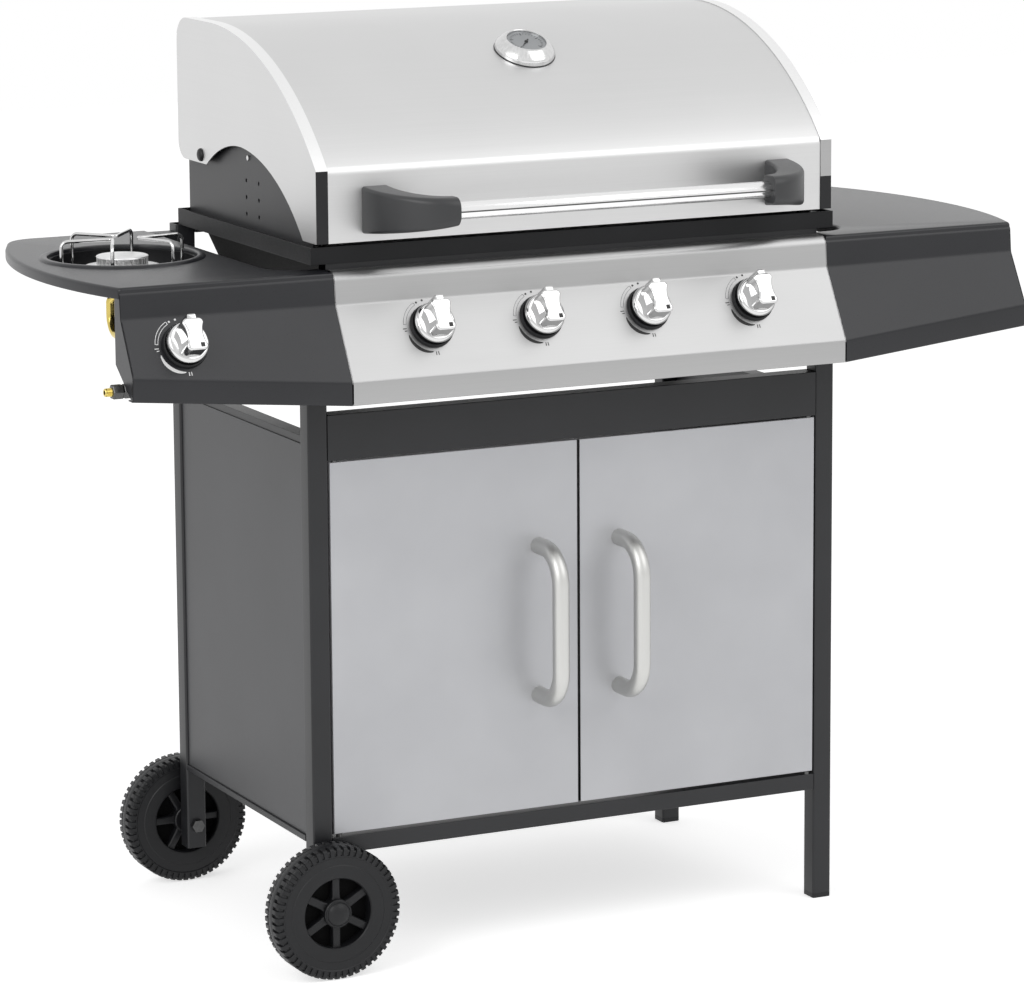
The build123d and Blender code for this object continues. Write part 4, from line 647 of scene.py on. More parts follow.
def table(word, side):
    """One side table."""
    plan = table_plan()
    levels = []
    for step in range(EDGE_STEPS + 1):
        turn = radians(90 * step / EDGE_STEPS)
        levels.append((TABLE_EDGE_R * (1 - sin(turn)), TABLE_Z - TABLE_EDGE_R * (1 - cos(turn))))
    levels += [(0.0, TABLE_BAND_Z + BAND_EDGE), (BAND_EDGE, TABLE_BAND_Z)]
    levels += [(BAND_T, TABLE_BAND_Z), (BAND_T, TABLE_UNDER_Z)]
    shape = Shape()
    rings = []
    for draw, z in levels:
        ring = []
        for x, y in inset(plan, draw):
            if z < TABLE_Z - TABLE_EDGE_R - LEVEL_GAP:
                y = max(y, PANEL_TOP_Y + BAND_SETBACK)
            ring.append((side * x, y, z))
        rings.append(ring)
    shape.loft(rings, caps=False)
    hole = []
    if side < 0:
        hole = [circle(BURNER_GRID, HOLE_R, 0, HOLE_STEPS)]
        lathe(shape, BURNER_GRID, RING_PROFILE, HOLE_STEPS, caps=False)
    piece = shape.piece(word + "_table_sheet")
    work = bmesh.new()
    work.from_mesh(piece.data)
    fill_flat(work, [rings[0]] + hole, TABLE_Z)
    under = [(x, max(y, PANEL_TOP_Y + BAND_SETBACK)) for x, y, z in rings[-1]]
    fill_flat(work, [under] + hole, TABLE_UNDER_Z)
    bmesh.ops.remove_doubles(work, verts=work.verts, dist=SHEET_WELD_M)
    bmesh.ops.recalc_face_normals(work, faces=work.faces)
    work.to_mesh(piece.data)
    work.free()
    settle(piece, "cart", "table_paint", (word + "_table",), sharp=SMOOTH)


for word, side in SIDES:
    table(word, side)


# Knobs: a turned skirt, a waisted grip, a tab at its top, and a dark bezel under each

BASE_RING = ((4.1, 8.3), (23.6, 8.3), (24.2, 8.9), (24.2, 11.6), (4.1, 11.6))
SKIRT = (
    (4.1, 11.7), (24.2, 11.7), (25.0, 12.4), (25.0, 13.4), (23.4, 16.2),
    (22.4, 17.0), (21.0, 17.3), (4.1, 17.3),
)
GRIP_W = 26.0
GRIP_L = 39.0
GRIP_WAIST = 3.2
GRIP_CORNER = 6.0
GRIP_BOTTOM = 17.1
GRIP_TOP = 40.0
GRIP_EDGE = 2.2
GRIP_EDGE_STEPS = 4
GRIP_DRAFT = 0.3
GRIP_SHARES = 8
TAB_W = 11.0
TAB_L = 6.4
TAB_Y = 21.2
TAB_TOP = 38.8
TAB_CORNER = 1.8
TAB_CORNER_FALL = 0.6
TAB_LEVELS = ((0.0, GRIP_BOTTOM), (0.0, TAB_TOP - 1.4), (0.4, TAB_TOP - 0.4), (1.4, TAB_TOP))
KNOB_DOT = ((3.4, -16.4, GRIP_TOP - 0.6), (8.4, -11.0, GRIP_TOP + 0.08))
BEZEL = (
    (6.2, 0.1), (26.8, 0.1), (26.8, 3.2), (26.0, 4.6), (24.8, 5.0), (23.8, 4.6),
    (22.8, 3.6), (6.2, 3.6),
)


def grip_ring(grid, drop, height):
    """The waisted outline of a grip, drawn in by drop, at a height."""
    width = GRIP_W - 2 * drop
    length = GRIP_L - 2 * drop
    ring = rounded_ring(Matrix(), width, length, GRIP_CORNER - drop, 0.0, steps=6)
    shaped = []
    half = GRIP_L / 2 - GRIP_CORNER
    stretch = []
    for i, point in enumerate(ring):
        stretch.append(point)
        after = ring[(i + 1) % len(ring)]
        if (after - point).length > half:
            stretch += [point.lerp(after, share / GRIP_SHARES) for share in range(1, GRIP_SHARES)]
    for point in stretch:
        rise = min(1.0, abs(point.y) / half)
        pull = GRIP_WAIST * (1 - rise**2) * copysign(1.0, point.x)
        shaped.append(grid @ Vector((point.x - pull, point.y, height)))
    return shaped


def knob(word, x):
    """One knob; it turns on its stem."""
    grid = knob_grid(x)
    shape = Shape()
    lathe(shape, grid, SKIRT, ROUND_STEPS, wrap=True)
    levels = [(0.0, GRIP_BOTTOM), (GRIP_DRAFT, GRIP_TOP - GRIP_EDGE)]
    for step in range(1, GRIP_EDGE_STEPS + 1):
        turn = radians(90 * step / GRIP_EDGE_STEPS)
        drop = GRIP_DRAFT + GRIP_EDGE * (1 - cos(turn))
        levels.append((drop, GRIP_TOP - GRIP_EDGE * (1 - sin(turn))))
    shape.loft([grip_ring(grid, drop, height) for drop, height in levels])
    middle = grid @ Matrix.Translation((0, TAB_Y, 0))
    tab_rings = []
    for drop, height in TAB_LEVELS:
        corner = TAB_CORNER - drop * TAB_CORNER_FALL
        drawn = (TAB_W - 2 * drop, TAB_L - 2 * drop)
        tab_rings.append(rounded_ring(middle, *drawn, corner, height, steps=4))
    shape.loft(tab_rings)
    name = "knob_" + word
    stand_in(shape, name + "_turned", name)
    base = lathe(Shape(), grid, BASE_RING, ROUND_STEPS, wrap=True)
    settle(base.piece(name + "_base"), name, "black_plastic", sharp=SMOOTH)
    mark = Shape()
    mark.block(*KNOB_DOT, grid)
    settle(mark.piece(name + "_mark"), name, "black_plastic", finish="black_ink")


bezels = Shape()
for word, x in KNOB_XS.items():
    knob(word, x)
    lathe(bezels, knob_grid(x), BEZEL, ROUND_STEPS, wrap=True)
stand_in(bezels, "knob_bezel_rings", "knob_bezels")


# Printed marks round each knob

MARK_R = 31.0
CRESCENT = (262, 196)
CRESCENT_T = (0.8, 3.4)
CRESCENT_POWER = 0.7
ARC = (172, 118)
ARC_GAP = 3.4
ARC_OVER = 0.1
TICKS = ((181, 5.2), (186, 3.6), (268, 4.6), (273, 4.6))
TICK_TURN = 0.9
MARK_GAP = 0.2
DOT_R = 1.3
DOT_OUT = 2.0
DOT_STEPS = 16
DOT_TURNS = (112, 98)
WHITE_LINE = 0.8
BLACK_LINE = 0.35
INK_LOW = 0.02
INK_HIGH = 0.14


def inked(shape, grid, outline):
    """A thin printed patch from an outline on the sloped face."""
    shape.loft([[grid @ Vector((x, y, z)) for x, y in outline] for z in (INK_LOW, INK_HIGH)])


def ring_patch(inner, outer, start, end, steps=24, swell=0.0):
    """An outline between two radii, the outer one swelling towards the middle."""
    shares = [i / steps for i in range(steps + 1)]
    turn = lambda s: start + (end - start) * s
    out = [polar(outer + swell * sin(pi * s) ** CRESCENT_POWER, turn(s)) for s in shares]
    return out + [polar(inner, turn(s)) for s in reversed(shares)]


def knob_marks(word, x):
    """Flame-size marks: a thick crescent, an open arc, ticks and dots."""
    grid = knob_grid(x)
    shape = Shape()
    inked(shape, grid, ring_patch(MARK_R, MARK_R + CRESCENT_T[0], *CRESCENT, swell=CRESCENT_T[1]))
    line = WHITE_LINE if word == "side" else BLACK_LINE
    for low in (MARK_R, MARK_R + ARC_GAP):
        inked(shape, grid, ring_patch(low, low + line, *ARC))
    ticks = [(angle, ARC_GAP + ARC_OVER, line) for angle in ARC]
    ticks += [(angle, reach, TICK_TURN) for angle, reach in TICKS]
    for angle, reach, half in ticks:
        patch = ring_patch(MARK_R + MARK_GAP, MARK_R + reach, angle - half, angle + half, steps=2)
        inked(shape, grid, patch)
    for angle in DOT_TURNS:
        x, y = polar(MARK_R + DOT_OUT, angle)
        around = [polar(DOT_R, 360 * k / DOT_STEPS) for k in range(DOT_STEPS)]
        inked(shape, grid, [(x + dx, y + dy) for dx, dy in around])
    slot, ink = ("table_paint", "white_ink") if word == "side" else ("stainless", "black_ink")
    settle(shape.piece("knob_print_" + word), "cart", slot, finish=ink)


for word, x in KNOB_XS.items():
    knob_marks(word, x)


# Wheels: moulded tyres with two rows of staggered lugs, six spokes and a domed cap

LUGS = 56
LUG_DEPTH = 3.0
LUG_SHARE = 0.6
LUG_FLANK = 0.05
HUB_R = 17.0
OPENING_R = 42.0
SPOKES = 6
SPOKE_W = 10.0
SPOKE_T = 24.0
WEB_T = 3.0
SHOULDER_DEPTH = 1.6
BOLT_R = 5.1
AXLE_GAP = 6.0
HUB = (
    (BOLT_R, 1.0), (HUB_R - 1.2, 0.2), (HUB_R, 1.4), (HUB_R, WHEEL_W - 1.4),
    (HUB_R - 1.2, WHEEL_W - 0.2), (BOLT_R, WHEEL_W - 1.0),
)
SPOKE_ENDS = (
    (HUB_R - 1.5, SPOKE_W + 2.0), (HUB_R + 3.0, SPOKE_W),
    (OPENING_R - 3.0, SPOKE_W), (OPENING_R + 1.2, SPOKE_W + 2.0),
)
SPOKE_CORNER = 2.4
CAP_PROFILE = (
    (0.6, 7.9), (5.0, 7.5), (9.0, 6.2), (12.4, 4.0), (14.2, 2.2), (14.6, 1.2),
    (16.0, 1.0), (16.0, 0.1),
)
# Half of the tyre's section: radius, distance from the side, and what the ring carries
PLAIN, LUGGED, NOTCHED = range(3)
TYRE = (
    (OPENING_R, 2.0, PLAIN), (OPENING_R + 1.2, 0.6, PLAIN), (OPENING_R + 3.0, 0.2, PLAIN),
    (58.0, 0.2, PLAIN), (59.0, 1.0, PLAIN), (68.0, 1.0, PLAIN), (69.0, 0.2, PLAIN),
    (70.0, 0.2, PLAIN), (70.6, 0.2, NOTCHED), (WHEEL_R - 3.4, 0.4, NOTCHED),
    (WHEEL_R - 2.0, 1.0, LUGGED), (WHEEL_R - 0.5, 2.2, LUGGED), (WHEEL_R, 3.6, LUGGED),
    (WHEEL_R, 12.4, LUGGED), (WHEEL_R - 0.6, 13.0, PLAIN), (WHEEL_R - 0.2, 14.0, PLAIN),
    (WHEEL_R - 0.2, WHEEL_W / 2, PLAIN),
)


def lug_angles():
    """Angles round the tread where a lug of either row starts or ends."""
    pitch = 2 * pi / LUGS
    angles = []
    for k in range(LUGS):
        for row in (0.0, 0.5):
            for share in (0.0, LUG_FLANK, LUG_SHARE, LUG_SHARE + LUG_FLANK):
                angles.append(((k + row + share) % LUGS) * pitch)
    return sorted(set(round(angle, 6) for angle in angles))


def lug_height(angle, row):
    """How far a lug stands out at an angle, from 0 to 1."""
    share = (angle * LUGS / (2 * pi) - row) % 1.0
    if share < LUG_FLANK:
        return share / LUG_FLANK
    if share <= LUG_SHARE:
        return 1.0
    return max(0.0, 1.0 - (share - LUG_SHARE) / LUG_FLANK)


def wheel(word, face_y, away, spoke_turn):
    """One wheel whose inner face is at face_y and whose outer face points away."""
    grid = grid_at((WHEEL_X, face_y, WHEEL_R), (1, 0, 0), (0, away, 0))
    shape = Shape()
    angles = lug_angles()
    rings = []
    near = [(radius, across, kind, 0.0, 1) for radius, across, kind in TYRE]
    far = [(radius, WHEEL_W - across, kind, 0.5, -1) for radius, across, kind in reversed(TYRE[:-1])]
    for radius, across, kind, row, inward in near + far:
        ring = []
        for angle in angles:
            gap = 1 - lug_height(angle, row)
            at = radius - LUG_DEPTH * gap * (kind == LUGGED)
            z = across + SHOULDER_DEPTH * gap * inward * (kind == NOTCHED)
            ring.append(grid @ Vector((at * cos(angle), at * sin(angle), z)))
        rings.append(ring)
    shape.loft(rings, wrap=True)
    lathe(shape, grid, HUB, wrap=True)
    web_low = (WHEEL_W - WEB_T) / 2
    web_high = web_low + WEB_T
    web = ((HUB_R - 1, web_low), (OPENING_R + 1, web_low), (OPENING_R + 1, web_high), (HUB_R - 1, web_high))
    disc = lathe(Shape(), grid, web, wrap=True)
    # The web between the spokes is near black as painted shade in the wheel's pockets
    settle(disc.piece(word + "_wheel_web"), word + "_wheel", "black_plastic", finish="shade_black")
    for k in range(SPOKES):
        turned = grid @ Matrix.Rotation(radians(360 / SPOKES * k + spoke_turn), 4, "Z")
        upright = turned @ Matrix.Rotation(radians(90), 4, "Y")
        upright.translation = turned @ Vector((0, 0, WHEEL_W / 2))
        sections = [(SPOKE_T, width, SPOKE_CORNER, reach) for reach, width in SPOKE_ENDS]
        shape.loft([rounded_ring(upright, *section, steps=4) for section in sections])
    body = word + "_wheel"
    stand_in(shape, body + "_moulding", body, sharp=MOULD_SHARP)
    cap = lathe(Shape(), grid @ Matrix.Translation((0, 0, WHEEL_W)), CAP_PROFILE, steps=48)
    stand_in(cap, word + "_hub_cap_dome", word + "_hub_cap")


wheel("front", FRONT - AXLE_GAP, -1, 180 / SPOKES)
wheel("back", BACK + AXLE_GAP, 1, 0.0)


# Door pulls

PULL_X = 54.0
PULL_Y = -241.0
PULL_LOW = 303.5
PULL_HIGH = 485.5
PULL_R = 10.2
PULL_BEND_R = 40.0

for word, side in SIDES:
    pull = Shape()
    x = side * PULL_X
    corners = ((FRONT, PULL_LOW), (PULL_Y, PULL_LOW), (PULL_Y, PULL_HIGH), (FRONT, PULL_HIGH))
    path = bent_path([(x, *corner) for corner in corners], PULL_BEND_R, steps=16)
    tube(pull, path, PULL_R, sides=32)
    stand_in(pull, word + "_pull_tube", word + "_door_pull")


# Side burner: cap with a slotted side, bright plate, wire pan support and brass pipe

HEAD_Z = 835.5
HEAD_H = 10.0
HEAD_R = 30.4
HEAD_SLOTS = 36
SLOT_DEPTH = 2.6
BOWL_FLOOR_Z = 807.0
WIRE_R = 2.2
LEG_R = 76.0
TIP_R = 17.0
SUPPORT_Z = 857.8
SUPPORT_TURN = -29.5
FINGERS = 3
SPLAY = 30.0
BURNER_CAP = (
    (0.8, 838.0), (20.0, 838.0), (29.2, 837.7), (30.6, 837.0), (31.0, 836.2),
    (30.6, HEAD_Z), (0.8, HEAD_Z),
)
SLOT_EDGE = 1.4
SLOT_SHARES = ((0.0, 0), (0.52, 0), (0.58, 1), (0.94, 1))
PLATE_Z = HEAD_Z - HEAD_H
BURNER_PLATE = (
    (10.0, PLATE_Z), (38.0, PLATE_Z), (44.6, PLATE_Z - 0.3), (46.0, PLATE_Z - 1.2),
    (45.0, PLATE_Z - 2.0), (21.0, PLATE_Z - 2.4), (21.0, BOWL_FLOOR_Z),
    (10.0, BOWL_FLOOR_Z),
)
WIRE_BENDS = (8.0, 4.5, 8.0)


def burner_head():
    """The slotted burner head with its cap and base plate."""
    shape = Shape()
    lathe(shape, BURNER_GRID, BURNER_CAP, ROUND_STEPS)
    pitch = 2 * pi / HEAD_SLOTS
    rings = []
    for z in (HEAD_Z, HEAD_Z - SLOT_EDGE, PLATE_Z + SLOT_EDGE, PLATE_Z):
        slotted = PLATE_Z < z < HEAD_Z
        ring = []
        for k in range(HEAD_SLOTS):
            for share, deep in SLOT_SHARES:
                radius = HEAD_R - SLOT_DEPTH * deep * slotted
                turn = (k + share) * pitch
                ring.append(BURNER_GRID @ Vector((radius * cos(turn), radius * sin(turn), z)))
        rings.append(ring)
    shape.loft(rings)
    lathe(shape, BURNER_GRID, BURNER_PLATE, ROUND_STEPS)
    stand_in(shape, "burner_head_cap", "side_burner_head", sharp=MOULD_SHARP)


def pan_support():
    """Three bent wire fingers on a ring."""
    shape = Shape()
    foot_z = BOWL_FLOOR_Z + WIRE_R
    for finger in range(FINGERS):
        turn = radians(360 / FINGERS * finger + SUPPORT_TURN)
        turned = BURNER_GRID @ Matrix.Rotation(turn, 4, "Z")
        x, y = polar(LEG_R, SPLAY)
        legs = [[(x, y * way, z) for z in (foot_z, SUPPORT_Z)] for way in (-1, 1)]
        corners = legs[0] + [(TIP_R, 0, SUPPORT_Z)] + legs[1][::-1]
        tube(shape, bent_path([turned @ Vector(c) for c in corners], WIRE_BENDS), WIRE_R, sides=20)
    ring = circle(BURNER_GRID, LEG_R, foot_z, HOLE_STEPS)
    loops = []
    for i, point in enumerate(ring):
        ahead = ring[(i + 1) % len(ring)] - ring[i - 1]
        loops.append(circle(grid_at(point, (0, 0, 1), ahead), WIRE_R, 0.0, steps=16))
    shape.loft(loops, wrap=True)
    stand_in(shape, "pan_support_wire", "pan_support")


PIPE_R = 5.0
PIPE_LOW_Z = 745.0
PIPE_BULGE = (-13.0, 9.0)
VALVE_DEPTH = 40.0
DROP_LOW_Z = 794.0
BULGE_TOP_Z = 784.0
COLLAR_Z = (796.0, 806.0)
COLLAR_R = PIPE_R + 3.6
PIPE_BENDS = (5.5, 7.0, 22.0)
COLLAR = (
    (PIPE_R - 1, COLLAR_Z[1]), (COLLAR_R - 0.4, COLLAR_Z[1]),
    (COLLAR_R, COLLAR_Z[1] - 1.4), (COLLAR_R, COLLAR_Z[0] + 1.4),
    (COLLAR_R - 0.4, COLLAR_Z[0]), (PIPE_R - 1, COLLAR_Z[0]),
)


def burner_pipe():
    """The brass pipe from its valve to the burner, with a collar at the bowl."""
    shape = Shape()
    valve_end = knob_grid(KNOB_XS["side"]) @ Vector((0, 0, PIPE_R - VALVE_DEPTH))
    bulge = (BURNER[0] + PIPE_BULGE[0], BURNER[1] + PIPE_BULGE[1])
    corners = [(*BURNER, BOWL_FLOOR_Z), (*BURNER, DROP_LOW_Z)]
    corners += [(*bulge, BULGE_TOP_Z), (*bulge, PIPE_LOW_Z), valve_end]
    tube(shape, bent_path(corners, PIPE_BENDS, steps=12), PIPE_R, sides=28)
    lathe(shape, BURNER_GRID, COLLAR, HEX_SIDES)
    stand_in(shape, "burner_pipe_bend", "side_burner_pipe", sharp=MOULD_SHARP)


burner_head()
pan_support()
burner_pipe()


# Gas inlet: a steel body with a brass tip

INLET_X = -575.0
INLET_AT = knob_grid(0.0) @ Vector((0, -34.0, -38.0))
INLET_GRID = grid_at((INLET_X, INLET_AT.y, INLET_AT.z), (0, 1, 0), (-1, 0, 0))
INLET_BODY = (
    (3.0, 0.0), (8.4, 0.0), (9.0, 0.8), (9.0, 11.0), (8.2, 11.6), (8.2, 13.0),
    (9.0, 13.6), (9.0, 24.6), (8.2, 25.6), (3.0, 25.6),
)
THREAD_START = 26.4
THREAD_TURNS = 6
THREAD_FLANK = 0.5
THREAD_SHARP = 30.0
INLET_SHARP = 25.0
INLET_BEVEL = 0.35
inlet_body = lathe(Shape(), INLET_GRID, INLET_BODY, HEX_SIDES)
inlet_piece = inlet_body.piece("gas_inlet_body")
settle(inlet_piece, "cart", "fastener_steel", (), "dark_steel", INLET_SHARP, INLET_BEVEL)
thread = [(2.5, 25.2), (5.0, 25.4)]
for turn in range(THREAD_TURNS):
    thread += [(5.0, THREAD_START + turn), (4.5, THREAD_START + THREAD_FLANK + turn)]
thread += [(4.8, 33.2), (4.2, 34.0), (2.5, 34.0)]
inlet_tip = lathe(Shape(), INLET_GRID, thread, steps=40, wrap=True)
stand_in(inlet_tip, "gas_inlet_tip", "gas_inlet", sharp=THREAD_SHARP)


# Lid: bent sheet, handle and thermometer

LID_RUN = LID_APEX[0] - LID_FRONT_Y
LID_FALL = LID_APEX[1] - LID_CREASE_Z
LID_R = (LID_RUN**2 + LID_FALL**2) / (2 * LID_FALL)
LID_CENTRE = (LID_APEX[0], LID_APEX[1] - LID_R)
LID_CREASE_R = 16.0
LID_HEM = 3.0
LID_T = 1.5
LID_STEPS = 60
# Points of the bow that the rounded crease takes up
LID_TRIM = 3


def lid_sheet():
    """The curved sheet between the end plates, with a hem along its front edge."""
    turn = atan2(LID_CREASE_Z - LID_CENTRE[1], LID_FRONT_Y - LID_CENTRE[0])
    arc = [turn + (pi / 2 - turn) * i / LID_STEPS for i in range(LID_STEPS + 1)]
    bow = [(LID_CENTRE[0] + LID_R * cos(a), LID_CENTRE[1] + LID_R * sin(a)) for a in arc]
    front_line = [(0, LID_FRONT_Y, LID_BOTTOM_Z), (0, *bow[0]), (0, *bow[LID_TRIM])]
    front = bent_path(front_line, LID_CREASE_R, steps=8)[:-1]
    back_line = [(0, *bow[-1]), (0, LID_BACK[0], LID_APEX[1]), (0, *LID_BACK)]
    back = bent_path(back_line, LID_BACK_R, steps=12)
    outer = front + [Vector((0, *p)) for p in bow[LID_TRIM:-1]] + back
    section = outer + beside(outer, LID_T)[::-1]
    shape = Shape()
    half = LID_HALF - LID_T
    shape.loft([[Vector((x, p.y, p.z)) for p in section] for x in (-half, half)])
    hem = grid_at((-half, LID_FRONT_Y + LID_HEM / 2, LID_BOTTOM_Z + LID_HEM / 2), (0, 1, 0), (1, 0, 0))
    lathe(shape, hem, ((LID_HEM / 2, 0.0), (LID_HEM / 2, 2 * half)), steps=16)
    stand_in(shape, "lid_sheet", "lid_shell")


HANDLE_SHOW = 205.0
HANDLE_R = 10.0
HANDLE_TUCK = 16.0
HANDLE_BORE_R = 8.0
HANDLE_L = 2 * (HANDLE_SHOW + HANDLE_TUCK)
HANDLE_BAR = (
    (HANDLE_BORE_R, 0.0), (HANDLE_R - 0.6, 0.0), (HANDLE_R, 0.8),
    (HANDLE_R, HANDLE_L - 0.8), (HANDLE_R - 0.6, HANDLE_L),
    (HANDLE_BORE_R, HANDLE_L),
)
FOOT_X = 265.0
FOOT_W = 34.0
FOOT_Z = (875.0, 930.0)
SLEEVE_W = 33.0
SLEEVE_Z = (890.5, 923.5)
FOOT_CORNER = 4.0
SLEEVE_CORNER = 11.0
SLEEVE_EDGE = 1.2
ARM_STEPS = 30
# A dark line along the front of the bar is a painted reflection of a dark horizon
REFLECTION_LINE_W = 1.8
REFLECTION_LINE_DROP = 0.8
REFLECTION_LINE_PROUD = 0.05
REFLECTION_LINE_DEPTH = 0.8


def handle_bracket(shape, side):
    """One moulded bracket, from its foot on the lid round to the sleeve on the bar."""
    mix = lambda first, last, share: first + (last - first) * share
    swing = FOOT_X - HANDLE_SHOW
    standoff = LID_FRONT_Y - HANDLE_Y
    levels = [(step / ARM_STEPS, 0.0) for step in range(ARM_STEPS + 1)] + [(1.0, SLEEVE_EDGE)]
    rings = []
    for share, edge in levels:
        angle = radians(90 * share)
        low = mix(FOOT_Z[0], SLEEVE_Z[0], share) + edge
        high = mix(FOOT_Z[1], SLEEVE_Z[1], 1 - (1 - share) ** 2) - edge
        x = HANDLE_SHOW + swing * cos(angle) - edge
        centre = (side * x, LID_FRONT_Y - standoff * sin(angle), (low + high) / 2)
        ahead = Vector((-side * swing * sin(angle), -standoff * cos(angle), 0.0))
        grid = grid_at(centre, (-ahead.y, ahead.x, 0.0), ahead)
        width = mix(FOOT_W, SLEEVE_W, share) - 2 * edge
        corner = mix(FOOT_CORNER, SLEEVE_CORNER, share**2)
        rings.append(rounded_ring(grid, width, high - low, corner, 0.0, steps=10))
    shape.loft(rings)


def lid_handle():
    """The bar with a dark line on its front as a painted reflection, and its two brackets."""
    brackets = Shape()
    for side in (-1, 1):
        handle_bracket(brackets, side)
    stand_in(brackets, "handle_bracket_mouldings", "lid_handle_brackets", "bracket_plastic")
    grid = grid_at((-HANDLE_SHOW - HANDLE_TUCK, HANDLE_Y, HANDLE_Z), (0, 1, 0), (1, 0, 0))
    stand_in(lathe(Shape(), grid, HANDLE_BAR), "handle_bar_tube", "lid_handle_bar", "bar_steel")
    # A thin dark block along the bar's front: a painted reflection of a dark horizon
    reflection_line = Shape()
    reflection_line_y = HANDLE_Y - HANDLE_R
    low = (-HANDLE_SHOW, reflection_line_y - REFLECTION_LINE_PROUD, HANDLE_Z - REFLECTION_LINE_DROP - REFLECTION_LINE_W / 2)
    high = (HANDLE_SHOW, reflection_line_y + REFLECTION_LINE_DEPTH, HANDLE_Z - REFLECTION_LINE_DROP + REFLECTION_LINE_W / 2)
    reflection_line.block(low, high)
    settle(reflection_line.piece("handle_bar_painted_reflection"), "lid", "bright_chrome", finish="dark_steel")


DIAL_Y = -41.0
DIAL_BASE_R = 37.0
DIAL_R = 24.0
DIAL_FLOOR = 13.0
DIAL_TICKS = 25
DIAL_SWEEP = 270.0
DIAL_SHARP = 38.0
DIAL_PROFILE = (
    (0.6, DIAL_FLOOR), (21.0, DIAL_FLOOR), (22.6, DIAL_FLOOR + 0.3),
    (DIAL_R - 0.1, DIAL_FLOOR + 0.3), (DIAL_R - 0.1, DIAL_FLOOR - 0.5),
    (0.6, DIAL_FLOOR - 0.5),
)
BEZEL_PROFILE = (
    (DIAL_BASE_R, 3.6), (DIAL_BASE_R - 0.5, 5.4), (DIAL_BASE_R - 1.8, 7.4),
    (DIAL_BASE_R - 4.0, 9.6), (DIAL_R + 4.6, 14.6), (DIAL_R + 2.6, 15.8),
    (DIAL_R + 1.2, 16.0), (DIAL_R + 0.3, 15.4), (DIAL_R, DIAL_FLOOR - 0.6),
    (4.0, DIAL_FLOOR - 0.6),
)
PROBE = ((3.5, 2.0), (3.5, -46.5), (2.4, -48.0), (0.4, -48.0))
# Each tick: its inner radius and half its width in degrees
LONG_TICK = (15.6, 1.5)
SHORT_TICK = (17.8, 0.8)
LONG_EVERY = 6
TICK_OUT_R = 20.4
NEEDLE_TIP = 17.0
NEEDLE_TAIL = 6.0
NEEDLE_HALF = 1.0
NEEDLE_Z = (0.7, 1.1)
NEEDLE_CAP = ((2.2, 0.1), (2.2, 1.2), (1.4, 1.8), (0.3, 1.8))
NEEDLE_TURN = 228.0
# A thin dark ring round the bezel's foot is painted shade of its contact line with the lid
SHADE_RING_SPREAD = 1.018
SHADE_RING_T = 0.9


def thermometer():
    """A conical bezel with a dark ring under it on the lid as painted shade of its contact line, a dial
    with ticks, and a needle.
    """
    rise = sqrt(LID_R**2 - (LID_CENTRE[0] - DIAL_Y) ** 2)
    at = Vector((0, DIAL_Y, LID_CENTRE[1] + rise))
    normal = at - Vector((0, *LID_CENTRE))
    grid = grid_at(at, (1, 0, 0), normal)
    seat = []
    for i in range(ROUND_STEPS):
        x, y = polar(DIAL_BASE_R, 360 * i / ROUND_STEPS)
        seat.append(grid @ Vector((x, y, -(y**2) / (2 * LID_R))))
    shape = Shape()
    shape.loft([seat] + [circle(grid, radius, height, ROUND_STEPS) for radius, height in BEZEL_PROFILE])
    lathe(shape, grid, PROBE, steps=24)
    stand_in(shape, "thermometer_bezel", "thermometer", "bezel_steel", DIAL_SHARP)
    # Dark ring under the bezel: painted shade along its contact line
    shade_ring = Shape()
    shade_ring_foot = [grid @ (grid.inverted() @ point * SHADE_RING_SPREAD) for point in seat]
    raised = [point + normal.normalized() * SHADE_RING_T for point in shade_ring_foot]
    shade_ring.loft([shade_ring_foot, raised])
    settle(shade_ring.piece("thermometer_shade_ring"), "lid", "black_plastic")
    dial = lathe(Shape(), grid, DIAL_PROFILE, ROUND_STEPS)
    stand_in(dial, "thermometer_dial_plate", "thermometer_dial", sharp=DIAL_SHARP)
    ticks = Shape()
    face = grid @ Matrix.Translation((0, 0, DIAL_FLOOR))
    for k in range(DIAL_TICKS):
        angle = 90 + DIAL_SWEEP / 2 - DIAL_SWEEP * k / (DIAL_TICKS - 1)
        start, half = SHORT_TICK if k % LONG_EVERY else LONG_TICK
        patch = ring_patch(start, TICK_OUT_R, angle - half, angle + half, steps=2)
        inked(ticks, face, patch)
    settle(ticks.piece("thermometer_ticks"), "lid", "dial_face", finish="black_ink")
    needle = Shape()
    x, y = polar(NEEDLE_TAIL, NEEDLE_TURN + 180)
    dx, dy = polar(NEEDLE_HALF, NEEDLE_TURN + 90)
    outline = [polar(NEEDLE_TIP, NEEDLE_TURN), (x + dx, y + dy), (x - dx, y - dy)]
    needle.loft([[face @ Vector((*p, z)) for p in outline] for z in NEEDLE_Z])
    lathe(needle, face, NEEDLE_CAP, steps=24)
    settle(needle.piece("thermometer_needle"), "lid", "dial_face", finish="black_ink")


HINGE_Y = 159.0
HINGE_Z = 934.0
HINGE_GAP = 0.3
HINGE_HEAD = (
    (0.5, 4.0), (4.0, 3.7), (6.6, 2.6), (7.9, 1.0), (8.0, 0.0), (4.0, 0.0),
    (4.0, -14.0), (0.5, -14.0),
)
HINGE_SPACER = ((8.0, -1.9), (8.0, -9.4), (0.5, -9.4))
HINGE_NUT = ((8.0, -11.8), (8.0, -15.8), (0.5, -15.8))


